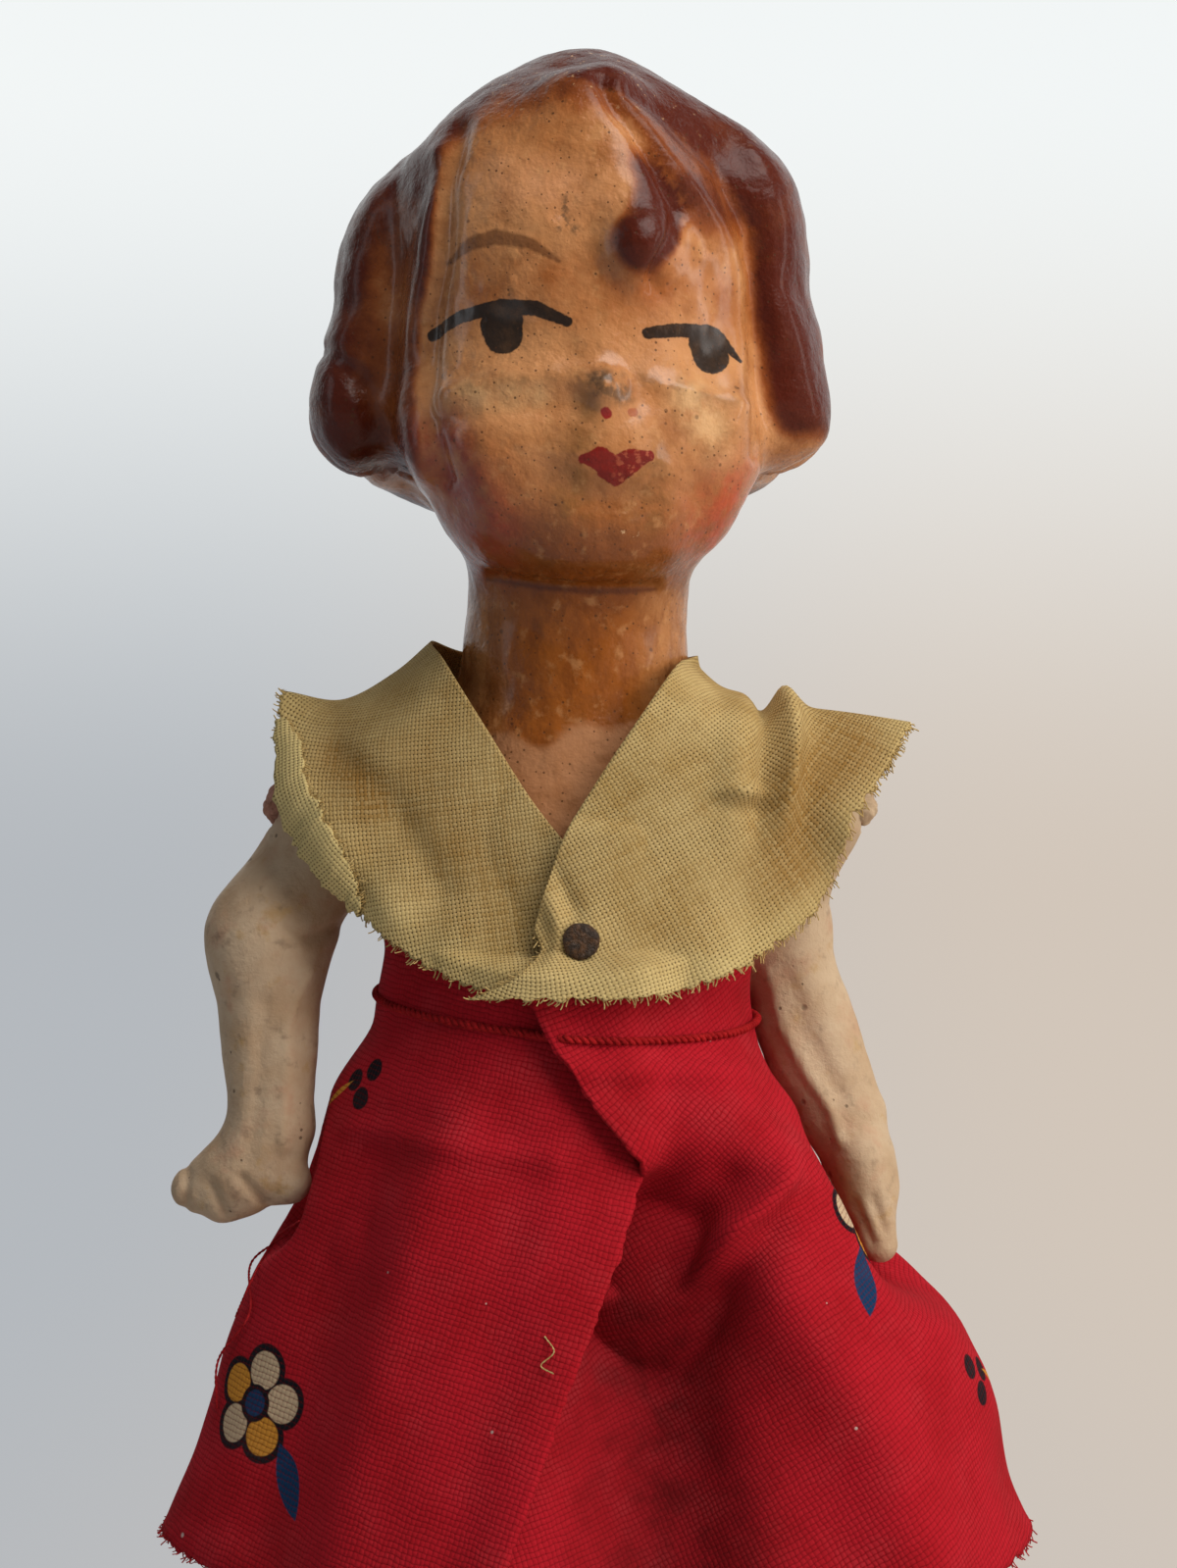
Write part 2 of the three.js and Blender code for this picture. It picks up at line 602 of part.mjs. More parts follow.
// Waist cord: one unbroken tube round the skirt, its two ends at the knot
const tiePoints = [];
for (let i = 0; i <= 44; i++) {
  const angle = mix(-180 + KNOT_TURN, 180 - KNOT_TURN, i / 44);
  const rise = (TIE_RISE_BACK * (1 - Math.cos(angle * DEG))) / 2;
  const z = WAIST_HEIGHT + rise - TIE_SLANT * Math.sin(angle * DEG);
  const side = angle < -14 ? -1 : 1;
  const [x, y] = skirtAt(side, angle, z);
  const size = Math.hypot(x, y);
  const off = SKIRT_THICK / 2 + TIE_CLEARANCE + TIE_RADIUS;
  tiePoints.push(new THREE.Vector3(x * (1 + off / size), y * (1 + off / size), z));
}
const tiePath = new THREE.CatmullRomCurve3(tiePoints);
const tieRound = new THREE.Shape().absarc(0, 0, TIE_RADIUS, 0, 2 * Math.PI, false);
const tie = new THREE.ExtrudeGeometry(tieRound, {
  steps: 48,
  curveSegments: 3,
  bevelEnabled: false,
  extrudePath: tiePath,
});
const tieEnds = [tiePath.getPoint(0), tiePath.getPoint(1)];
let tieGap = tieEnds[0].distanceTo(tieEnds[1]) - 2 * TIE_RADIUS;
const tieTrack = tiePath.getPoints(160);
for (let i = 0; i < tieTrack.length; i++)
  for (let j = i + 20; j < tieTrack.length; j++)
    tieGap = Math.min(tieGap, tieTrack[i].distanceTo(tieTrack[j]) - 2 * TIE_RADIUS);
console.log("waist cord, least gap to itself in mm:", tieGap.toFixed(2));

// Assembly
const doll = new THREE.Group();
const finishes = {
  varnish: new THREE.MeshStandardMaterial({ color: 0xa97550, roughness: 0.25 }),
  chalk: new THREE.MeshStandardMaterial({ color: 0xb9a58c, roughness: 0.85 }),
  muslin: new THREE.MeshStandardMaterial({ color: 0x9a8350, roughness: 0.95 }),
  cotton: new THREE.MeshStandardMaterial({ color: 0x7d1216, roughness: 0.95 }),
  string: new THREE.MeshStandardMaterial({ color: 0xb08070, roughness: 0.9 }),
  rust: new THREE.MeshStandardMaterial({ color: 0x3a2a20, roughness: 0.7, metalness: 0.6 }),
};
function add(name, made, finish) {
  const geometry = made.isBufferGeometry ? made : geometryOf(made);
  const flat = geometry.index ? geometry.toNonIndexed() : geometry;
  flat.computeVertexNormals();
  const mesh = new THREE.Mesh(flat, finishes[finish]);
  mesh.name = name;
  doll.add(mesh);
}

// Body shells: the moulding hollowed, cut for the limbs and parted at the side seam
const core = fieldOf([head[0], head[1], { ...hair[4], half: [23, 18, 22] }, ...torso]);
const hollow = (x, y, z) => Math.max(core(x, y, z), bodyField(x, y, z)) + SHELL_WALL;
let body = solid(mould(bodyField, bodyParts, BODY_CELL));
body = body.subtract(solid(mould(hollow, bodyParts, SHELL_CELL)));
const cordHole = CORD_RADIUS + CORD_CLEARANCE;
for (const side of [-1, 1]) {
  const shoulder = [SHOULDER_FACE * side, 60 * side].sort((a, b) => a - b);
  const low = SHOULDER_HEIGHT - 26;
  body = body.subtract(block([shoulder[0], -60, low], [shoulder[1], 60, SHOULDER_HEIGHT + 14]));
  const hip = [HIP_FACE * side, 60 * side].sort((a, b) => a - b);
  body = body.subtract(block([hip[0], -60, HIP_HEIGHT - 40], [hip[1], 60, HIP_HEIGHT + HIP_SHELF]));
}
body = body.subtract(solid(crossRod(-60, 60, 0, SHOULDER_HEIGHT, cordHole)));
body = body.subtract(solid(crossRod(-60, 60, 0, HIP_HEIGHT, cordHole)));

// Tack: head and shank, nailed straight in through the lapped collar
let tackFace = 0;
for (const row of collarLeftRows)
  for (const p of row)
    if (Math.hypot(p[0] - TACK_ACROSS, p[2] - TACK_HEIGHT) < 5) tackFace = Math.min(tackFace, p[1]);
const tackBack = tackFace - COLLAR_THICK / 2 - END_GAP;
const tackProfile = [
  [0, 0],
  [TACK_HEAD_RADIUS - 0.3, 0],
  [TACK_HEAD_RADIUS, 0.35],
  [TACK_HEAD_RADIUS, TACK_HEAD_THICK],
  [TACK_SHANK_RADIUS, TACK_HEAD_THICK],
  [TACK_SHANK_RADIUS, TACK_LENGTH - 2],
  [0, TACK_LENGTH],
].map((p) => new THREE.Vector2(...p));
const tack = new THREE.LatheGeometry(tackProfile, 18);
tack.translate(TACK_ACROSS, tackBack - TACK_HEAD_THICK, TACK_HEIGHT);
const holeRod = new THREE.CylinderGeometry(
  TACK_SHANK_RADIUS + TACK_HOLE_CLEARANCE,
  TACK_SHANK_RADIUS + TACK_HOLE_CLEARANCE,
  40,
  12,
);
const tackHole = solid(holeRod.translate(TACK_ACROSS, -26, TACK_HEIGHT));
body = body.subtract(tackHole);

add("body_front_shell", body.intersect(block([-80, -80, 0], [80, -SEAM_GAP / 2, 400])), "varnish");
add("body_back_shell", body.intersect(block([-80, SEAM_GAP / 2, 0], [80, 80, 400])), "varnish");

// Knots sit in a pocket at the outer end of each cord
function knot(x, y, z, side) {
  const r = KNOT_RADIUS;
  const stub = [[x + 0.16 * r * side, y, z - 0.4 * r], [x + 0.36 * r * side, y + 0.24 * r, z - r]];
  const turns = [
    lump([x, y, z + 0.2 * r], [0.8 * r, r, 0.9 * r]),
    lump([x + 0.2 * r * side, y - 0.28 * r, z - 0.36 * r], [0.8 * r, 0.8 * r, 0.8 * r], 0.8),
    limb(stub[0], stub[1], 0.36 * r, 0.32 * r, 0.5),
  ];
  return solid(mould(fieldOf(turns), turns, KNOT_CELL));
}

// How far out from the midline a form's surface lies on a cross axis
function surfaceAt(field, side, z) {
  let x = 0;
  for (let i = 20; i < 600; i++) if (field((side * i) / 10, 0, z) < 0) x = i / 10;
  return x;
}

const stringEnd = {};
function limbSolid(name, parts, cell, side, z, face, depth) {
  const field = fieldOf(parts);
  const bottom = surfaceAt(field, side, z) - depth;
  let made = solid(mould(field, parts, cell));
  const inside = [(face + LIMB_GAP) * side, 90 * side].sort((a, b) => a - b);
  made = made.intersect(block([inside[0], -90, 0], [inside[1], 90, 400]));
  made = made.subtract(solid(crossRod(-90, 90, 0, z, cordHole)));
  const pocket = [side * bottom, side * 90].sort((a, b) => a - b);
  made = made.subtract(solid(crossRod(pocket[0], pocket[1], 0, z, KNOT_POCKET)));
  stringEnd[name] = bottom + END_GAP;
  return made;
}

function addArm(name, parts, side) {
  const z = SHOULDER_HEIGHT;
  add(name, limbSolid(name, parts, ARM_CELL, side, z, SHOULDER_FACE, ARM_POCKET_DEPTH), "chalk");
  const x = side * (stringEnd[name] + KNOT_RADIUS * 0.8);
  add(name + "_knot", knot(x, 0, SHOULDER_HEIGHT, side), "string");
}
addArm("right_arm", rightArm, -1);
addArm("left_arm", leftArm, 1);

function addLeg(name, side) {
  const parts = legParts(side);
  add(name, limbSolid(name, parts, LEG_CELL, side, HIP_HEIGHT, HIP_FACE, LEG_POCKET_DEPTH), "chalk");
  const x = side * (stringEnd[name] + KNOT_RADIUS * 0.8);
  add(name + "_knot", knot(x, 0, HIP_HEIGHT, side), "string");
}
addLeg("right_leg", -1);
addLeg("left_leg", 1);

function addString(name, right, left, z) {
  const rod = crossRod(END_GAP - stringEnd[right], stringEnd[left] - END_GAP, 0, z, CORD_RADIUS);
  add(name, rod, "string");
}
addString("arm_cord", "right_arm", "left_arm", SHOULDER_HEIGHT);
addString("leg_cord", "right_leg", "left_leg", HIP_HEIGHT);

// Clothes
add("collar_right", solid(cloth(collarRightRows, COLLAR_THICK)).subtract(tackHole), "muslin");
add("collar_left", solid(cloth(collarLeftRows, COLLAR_THICK)).subtract(tackHole), "muslin");
add("collar_tack", solid(tack), "rust");
add("skirt_right", solid(cloth(skirtRightRows, SKIRT_THICK)).subtract(tackHole), "cotton");
add("skirt_left", solid(cloth(skirtLeftRows, SKIRT_THICK)).subtract(tackHole), "cotton");
add("waist_cord", solid(tie), "cotton");

const knotY = (tieEnds[0].y + tieEnds[1].y) / 2 + 1.2;
const knotZ = (tieEnds[0].z + tieEnds[1].z) / 2;
const knotHalf = Math.abs(tieEnds[0].x) - END_GAP;
const tail = (across, drop) => {
  const way = [[0, 0.3, -0.6], [across * 0.6, 1.2, drop * 0.5], [across, 1.4, drop]];
  const points = way.map(([x, y, z]) => new THREE.Vector3(x, knotY + y, knotZ + z));
  const path = new THREE.CatmullRomCurve3(points);
  const options = { steps: 6, curveSegments: 3, bevelEnabled: false, extrudePath: path };
  return solid(new THREE.ExtrudeGeometry(tieRound, options));
};
const lumpy = new THREE.SphereGeometry(1, 12, 8).scale(knotHalf, 1.6, 1.7).translate(0, knotY, knotZ);
add("waist_knot", solid(lumpy).add(tail(-3.2, -12)).add(tail(3.4, -10)), "cotton");

// The frame's origin is on the floor below the middle of the doll's bounding box
const bounds = new THREE.Box3().setFromObject(doll);
const middle = bounds.getCenter(new THREE.Vector3());
doll.position.set(-middle.x, -middle.y, 0);
console.log("doll moved by", doll.position.x.toFixed(3), doll.position.y.toFixed(3));

export default doll;
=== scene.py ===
# %% [markdown]
# # A composition doll in a muslin collar and a red wrap skirt
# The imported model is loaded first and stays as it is: it is the frame that every piece below is
# fitted to. The moulded forms are worked out in millimetres about the doll's own midline, in the same
# formulas as the solids, and go to metres in the frame only when a mesh is made.

# %% The frame
import math
import bmesh
import bpy
import numpy as np
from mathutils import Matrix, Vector


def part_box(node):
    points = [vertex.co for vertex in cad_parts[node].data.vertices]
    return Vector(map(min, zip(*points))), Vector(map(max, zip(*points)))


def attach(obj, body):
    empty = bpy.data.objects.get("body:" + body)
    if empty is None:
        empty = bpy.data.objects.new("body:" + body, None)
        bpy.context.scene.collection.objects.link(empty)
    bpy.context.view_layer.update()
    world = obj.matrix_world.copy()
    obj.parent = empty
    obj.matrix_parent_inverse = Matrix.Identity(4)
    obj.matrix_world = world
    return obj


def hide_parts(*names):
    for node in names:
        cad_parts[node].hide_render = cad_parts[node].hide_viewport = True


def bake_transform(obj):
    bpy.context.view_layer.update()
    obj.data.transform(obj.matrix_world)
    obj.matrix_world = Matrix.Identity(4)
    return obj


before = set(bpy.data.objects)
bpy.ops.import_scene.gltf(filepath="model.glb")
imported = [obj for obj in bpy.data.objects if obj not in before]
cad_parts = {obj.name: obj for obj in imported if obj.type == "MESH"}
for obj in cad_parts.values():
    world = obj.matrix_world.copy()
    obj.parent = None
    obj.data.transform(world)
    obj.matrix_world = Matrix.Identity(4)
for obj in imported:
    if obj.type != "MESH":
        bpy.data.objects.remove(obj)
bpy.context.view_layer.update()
rng = np.random.default_rng(7)

# %% From the doll's midline to the frame
arm_box = [np.array(corner) * 1000 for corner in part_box("arm_cord")]
# In model.glb the middle of the solids' box sits over the origin, which moves the midline by this much.
SHIFT = np.array([-3.441, -0.467, 0.0])


def to_frame(points):
    return (np.asarray(points, float) + SHIFT) / 1000


print("string height", (arm_box[0][2] + arm_box[1][2]) / 2, "depth", (arm_box[0][1] + arm_box[1][1]) / 2)

# %% [markdown]
# ## Camera and light
# The photograph looks level at the doll's chest from about 35 cm, which makes the head large and lets
# the sides fall away. A wide soft lamp above and to the right gives the shaded chin and the darker left
# side, a narrow cool one gives the long window streaks on the hair, and a weak warm one fills the right.
# A soft one behind lights the back for other views and is out of sight from the front.

# %% Camera
CAMERA_AT, LENS, SENSOR = [2.3, -350, 205.7], 62.25, 36
scene = bpy.context.scene


def in_scene(name, data):
    obj = bpy.data.objects.new(name, data)
    scene.collection.objects.link(obj)
    return obj


for old in [o for o in scene.objects if o.type in ("LIGHT", "CAMERA")]:
    bpy.data.objects.remove(old)
camera_data = bpy.data.cameras.new("camera")
camera_data.lens = LENS
camera_data.sensor_width = SENSOR
camera = in_scene("camera", camera_data)
camera.location = to_frame(CAMERA_AT)
camera.rotation_euler = (math.pi / 2, 0, 0)
scene.camera = camera
scene.view_settings.view_transform = "Standard"
print("camera at", [round(v, 4) for v in camera.location])


# %% Lamps
def lamp(name, at, aim, size, power, colour, tall=None, mirrored=True):
    data = bpy.data.lights.new(name, "AREA")
    data.shape = "RECTANGLE"
    data.size = size
    data.size_y = tall or size
    data.energy = power
    data.color = colour
    obj = in_scene(name, data)
    obj.location = at
    obj.rotation_euler = (Vector(at) - Vector(aim)).to_track_quat("Z", "Y").to_euler()
    obj.visible_glossy = mirrored
    obj.visible_camera = False
    return obj


middle = (0, 0, 0.2)
lamp("ceiling_window", (0.30, -0.34, 0.80), middle, 0.5, 4.2, (1.0, 0.97, 0.93))
lamp("left_window", (-0.60, -0.20, 0.44), middle, 0.14, 0.36, (0.88, 0.94, 1.0), 0.5)
lamp("right_window", (0.62, -0.06, 0.36), middle, 0.1, 0.5, (1.0, 0.97, 0.93), 0.4)
lamp("right_fill", (0.54, -0.38, 0.34), middle, 0.3, 2.5, (1.0, 0.95, 0.89), 0.5, mirrored=False)
lamp("back_fill", (-0.15, 0.62, 0.52), middle, 0.5, 1.7, (0.96, 0.98, 1.0), mirrored=False)

# %% World
world = bpy.data.worlds.new("pale_room")
scene.world = world
world.use_nodes = True
room_light = world.node_tree.nodes["Background"]
room_light.inputs["Color"].default_value = (0.88, 0.9, 0.95, 1)
room_light.inputs["Strength"].default_value = 0.13
print("world strength", room_light.inputs["Strength"].default_value)

# %% [markdown]
# ## Moulded forms
# Papier-mache pressed in a mould has no sharp lines, so each form is a soft join of round lumps and
# tapering limbs, kept as a distance field. A net is drawn on the surface where the distance is zero,
# which gives one even closed skin with no poles.


# %% Lumps, limbs and soft joins
def lump(at, half, soft=0.0):
    return ("lump", np.array(at, float), np.array(half, float), soft)


def limb(start, end, first, last, soft=0.0):
    return ("limb", np.array(start, float), np.array(end, float), (first, last), soft)


def distance(part, points):
    if part[0] == "lump":
        scaled = (points - part[1]) / part[2]
        near = np.sqrt((scaled**2).sum(1))
        slope = np.sqrt(((scaled / part[2]) ** 2).sum(1))
        return near * (near - 1) / np.maximum(slope, 1e-6)
    along = part[2] - part[1]
    off = points - part[1]
    t = np.clip(off @ along / (along @ along), 0, 1)
    away = np.sqrt(((off - t[:, None] * along) ** 2).sum(1))
    return away - (part[3][0] + (part[3][1] - part[3][0]) * t)


def soften(a, b, soft):
    if soft <= 0:
        return np.minimum(a, b)
    h = np.maximum(soft - np.abs(a - b), 0) / soft
    return np.minimum(a, b) - h * h * soft / 4


def field_of(parts):
    def field(points):
        made = distance(parts[0], points)
        for part in parts[1:]:
            made = soften(made, distance(part, points), part[-1])
        return made

    return field


def slope_of(field, points, step=0.05):
    slopes = np.empty_like(points)
    for axis in range(3):
        shift = np.zeros(3)
        shift[axis] = step
        slopes[:, axis] = (field(points + shift) - field(points - shift)) / (2 * step)
    return slopes


def unit(rows):
    return rows / np.maximum(np.linalg.norm(rows, axis=-1, keepdims=True), 1e-6)


print("a lump's field at its skin:", distance(lump([0, 0, 0], [2, 3, 4]), np.array([[2.0, 0, 0]])))


# %% The net on a field's zero surface
def surface_net(field, low, high, cell):
    axes = [np.arange(a, b + cell, cell) for a, b in zip(low, high)]
    count = [len(a) for a in axes]
    values = np.empty(count)
    flat = np.stack(np.meshgrid(axes[1], axes[2], indexing="ij"), -1).reshape(-1, 2)
    for i, x in enumerate(axes[0]):
        layer = np.concatenate([np.full((len(flat), 1), x), flat], 1)
        values[i] = field(layer).reshape(count[1], count[2])
    inside = values < 0
    total = np.zeros([n - 1 for n in count], int)
    for i in (0, 1):
        for j in (0, 1):
            for k in (0, 1):
                total += inside[i : count[0] - 1 + i, j : count[1] - 1 + j, k : count[2] - 1 + k]
    cells = np.argwhere((total > 0) & (total < 8))
    ids = np.full(total.shape, -1)
    ids[tuple(cells.T)] = np.arange(len(cells))
    sums = np.zeros((len(cells), 3))
    hits = np.zeros(len(cells))
    for axis in range(3):
        for u in (0, 1):
            for v in (0, 1):
                a = cells.copy()
                a[:, (axis + 1) % 3] += u
                a[:, (axis + 2) % 3] += v
                b = a.copy()
                b[:, axis] += 1
                f, g = values[tuple(a.T)], values[tuple(b.T)]
                cross = (f < 0) != (g < 0)
                t = np.where(cross, f / np.where(cross, f - g, 1), 0)
                sums += cross[:, None] * (a + t[:, None] * (b - a))
                hits += cross
    points = np.array(low) + cell * sums / hits[:, None]
    for _ in range(3):
        slope = slope_of(field, points)
        step = field(points) / np.maximum((slope**2).sum(1), 0.05)
        points -= np.clip(step, -cell / 3, cell / 3)[:, None] * slope
    quads = []
    for axis in range(3):
        b, c = (axis + 1) % 3, (axis + 2) % 3
        near = np.moveaxis(inside, axis, 0)
        turned = np.argwhere(near[:-1] != near[1:])
        order = [axis] + [d for d in range(3) if d != axis]
        at = np.empty_like(turned)
        for column, d in enumerate(order):
            at[:, d] = turned[:, column]
        ring = []
        for u, v in ((-1, -1), (0, -1), (0, 0), (-1, 0)):
            q = at.copy()
            q[:, b] += u
            q[:, c] += v
            ring.append(ids[tuple(q.T)])
        ring = np.stack(ring, 1)
        flip = ~inside[tuple(at.T)]
        ring[flip] = ring[flip][:, ::-1]
        quads.append(ring)
    return points, np.concatenate(quads)


ball_points, ball_faces = surface_net(field_of([lump([0, 0, 0], [3, 3, 3])]), [-4] * 3, [4] * 3, 1.0)
print("a ball's net:", len(ball_points), "points,", len(ball_faces), "faces")


# %% Meshes from points
def smooth_mesh(name, points, faces, in_frame=False):
    mesh = bpy.data.meshes.new(name)
    placed = points if in_frame else to_frame(points)
    mesh.from_pydata(placed.tolist(), [], [list(map(int, f)) for f in faces])
    mesh.polygons.foreach_set("use_smooth", [True] * len(mesh.polygons))
    mesh.update()
    return in_scene(name, mesh)


def point_value(obj, name, values):
    layer = obj.data.attributes.new(name, "FLOAT", "POINT")
    layer.data.foreach_set("value", np.asarray(values, np.float32))


def ease(a, b, v):
    t = np.clip((v - a) / (b - a), 0, 1)
    return t * t * (3 - 2 * t)


def bump(v, at, wide):
    return np.exp(-(((v - at) / wide) ** 2))


def line_distance(points, line):
    """Distance across the front from a row of points, as (across, height)."""
    best = np.full(len(points), 1e9)
    flat = points[:, [0, 2]]
    for a, b in zip(np.array(line[:-1], float), np.array(line[1:], float)):
        t = np.clip((flat - a) @ (b - a) / ((b - a) @ (b - a)), 0, 1)
        best = np.minimum(best, np.sqrt(((flat - a - t[:, None] * (b - a)) ** 2).sum(1)))
    return best


def near_line(points, line, wide):
    """1 on a line across the front, fading to 0 at about twice this width from it."""
    return bump(line_distance(points, line), 0, wide)


def lumpy(p, grain, seed):
    """Soft hand-made unevenness, from a few crossed waves."""
    waves = np.random.default_rng(seed)
    made = np.zeros(len(p))
    for _ in range(7):
        way = waves.normal(size=3)
        way /= np.linalg.norm(way)
        made += np.sin(p @ way * 2 * math.pi / (grain * waves.uniform(0.7, 1.6)) + waves.uniform(0, 6.28))
    return made / 7


def settle(piece, body_name, slot_name, *nodes):
    """What a rigid piece rides on and which solids it stands for; the slot it is given is not used."""
    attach(piece, body_name)
    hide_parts(*nodes)


print("ease:", ease(0, 1, np.array([0, 0.25, 0.5, 1.0])))

# %% [markdown]
# ## Head and torso
# The head and torso are one hollow moulding. The face is turned a little to the doll's left, and the
# bob stands out on both sides in fat lobes. A lock swings over the forehead and ends in a round curl.
# The solids hold the main lumps; here they are joined more crisply and get the strands and face.

# %% Sizes of the moulding
HEAD, SHOULDER, WAIST, HIP = 263.0, 203.5, 175.0, 146.0
SHOULDER_FACE, HIP_FACE, HIP_SHELF = 26.5, 9.0, 15.5
turn_cos, turn_sin = math.cos(math.radians(9)), math.sin(math.radians(9))


def up(x, y, z):
    return [x, y, z + HEAD]


def turned(x, y, z):
    return [x * turn_cos - y * turn_sin, x * turn_sin + y * turn_cos, z + HEAD]


head_parts = [
    lump(up(0, 2, 6), [24, 25, 30]),
    lump(turned(0, -5, -9), [22, 21.5, 23.5], 8),
    lump(turned(-11.5, -13, -18), [11, 11.5, 11], 9),
    lump(turned(11.5, -13, -18), [11, 11.5, 11], 9),
    lump(turned(0, -16.5, -26), [8, 8.5, 6.5], 8),
    lump(turned(-2, -10, 12), [19, 15, 17], 8),
    lump(turned(0, -24.5, -16.2), [6, 3.4, 4], 4),
    lump(turned(0, -26.2, -10.2), [2.5, 3.3, 2.8], 2.4),
]
hair_parts = [
    limb(up(2, -2, 26), up(19, -3, 16), 10.4, 10, 3),
    limb(up(20.5, -3, 12), up(24, -2, -9.5), 9.4, 9.4, 2.2),
    limb(up(-18.5, -1, 12), up(-24.2, -1, -9.5), 9.4, 9.4, 2.0),
    limb(up(2.4, -16.8, 22.6), up(8.7, -22.2, 9), 7.8, 4.6, 3.5),
    lump(up(8.4, -25.6, 6.8), [3.5, 3.5, 3.9], 3.2),
    lump(up(0, 10, 4), [28, 19.5, 27], 8),
    limb(up(-17, 13, -7), up(17, 13, -7), 12.5, 12.5, 8),
]
torso_parts = [
    limb([0, 0, SHOULDER + 9], [1.5, -2, HEAD - 22], 14.6, 14, 5),
    limb([-18, 1, SHOULDER], [18, 1, SHOULDER], 11.6, 11.6, 8),
    lump([0, -1, SHOULDER - 10.5], [23.5, 16.5, 20], 8),
    lump([0, -2, WAIST - 2], [21.5, 17.5, 20], 8),
    lump([0, 0, HIP + HIP_SHELF], [24, 17, 17], 8),
    limb([0, 0, HIP + 12], [0, 0, HIP + 1], 13, 12, 6),
]
moulding_field = field_of(head_parts + hair_parts + torso_parts)


def body_field(points):
    x, z = np.abs(points[:, 0]), points[:, 2]
    made = moulding_field(points)
    shoulder = np.maximum(np.maximum(SHOULDER_FACE - x, SHOULDER - 26 - z), z - SHOULDER - 14)
    hip = np.maximum(HIP_FACE - x, z - HIP - HIP_SHELF)
    return np.maximum(np.maximum(made, -shoulder), -hip)


print("lumps and limbs in the moulding:", len(head_parts + hair_parts + torso_parts))

# %% The moulding's skin
body_points, body_faces = surface_net(body_field, [-40, -36, 128], [40, 38, 304], 0.8)
print("moulding:", len(body_points), "points,", 2 * len(body_faces), "triangles")


# %% [markdown]
# ### Relief
# The lobes of the bob are pressed in soft upright waves, the eyes sit under faint pouches, and the chin
# is parted from the neck by a pressed line. These are shallow, so the skin is moved along its own
# slope by fractions of a millimetre.

# %% Lines on the front of the bob, as (across, height)
OUTER_RIDGE = [(-20.5, 284), (-22.7, 280.7), (-27.2, 273.8), (-28.9, 263), (-30.3, 254.3), (-28.1, 247)]
MIDDLE_TROUGH = [(-17.8, 281), (-19.8, 275.6), (-22.5, 269), (-24, 260.6), (-25, 251.2), (-23.9, 243)]
INNER_RIDGE = [(-15.9, 283), (-17, 276), (-17.6, 270), (-19.2, 261.3), (-20.4, 251.8), (-19.5, 243)]
HAIRLINE = [(-13.3, 286.3), (-14.8, 279.1), (-15.3, 269.8), (-16.7, 262.9), (-17.2, 253.4), (-16.3, 242.1)]
SIDE_NICK = [(-31, 260.5), (-27, 257), (-23.5, 250.5)]
BAND_RIDGE = [
    (4.9, 294.5), (13.3, 291.2), (21.1, 287.5), (25.6, 280.3), (26.1, 271.8), (27.1, 262.4), (29.5, 254.1),
    (31, 250.5)
]
RIGHT_TROUGH = [
    (8, 290), (11.3, 288.1), (17.8, 282.3), (22.2, 275.2), (23, 266.9), (23.7, 257.5), (24.3, 246.8)
]
RIGHT_INNER = [(8.4, 284.9), (14, 278.9), (18.2, 273.7), (20.6, 268.4), (20.6, 258.7), (20, 249.7)]
GROOVE = [(4, 291), (5.6, 287.5), (10.7, 280.2), (13.3, 275.5), (13, 270.8), (10.2, 265.7)]
STRANDS = [
    (OUTER_RIDGE, 1.0, 2.8), (MIDDLE_TROUGH, -1.1, 2.4), (INNER_RIDGE, 0.8, 1.6), (HAIRLINE, -1.0, 1.3),
    (SIDE_NICK, -0.8, 1.3), (BAND_RIDGE, 0.8, 2.6), (RIGHT_TROUGH, -1.0, 1.4), (RIGHT_INNER, 0.8, 1.7),
    (GROOVE, -1.6, 1.1),
]
print("strands:", len(STRANDS))


# %% Waves in the bob, face creases and pits
def front_strands(p):
    x, y, z = p.T
    made = sum(height * near_line(p, line, wide) for line, height, wide in STRANDS)
    dents = bump(z, 268.5, 3.6) * ease(24, 29, x) + bump(z, 266, 3.6) * ease(-24, -28, x)
    return ease(3, -4, y) * made - 0.8 * ease(14, 4, y) * dents


def side_waves(p):
    x, y, z = p[:, 0], p[:, 1], p[:, 2] - HEAD
    side = np.where(x < 0, -1, 1)
    axis_x = side * (19.5 + 4.2 * ease(14, -10, z))
    around = np.degrees(np.arctan2(-(y + 1.5), (x - axis_x) * side))
    lobe = ease(13, 19, np.abs(x)) * ease(-26, -14, z) * ease(22, 10, z)
    flutes = lobe * ease(-6, 1, y) * np.cos(np.radians((around - 18 + 14 * np.sin(z / 7.0)) * 360 / 52))
    back = ease(6, 14, y) * ease(-24, -12, z) * ease(38, 26, z) * (1 - lobe)
    waves = np.cos(np.degrees(np.arctan2(x, y)) * math.pi / 15 + 0.8 * np.sin(z / 6))
    return 0.75 * flutes + 0.8 * back * waves


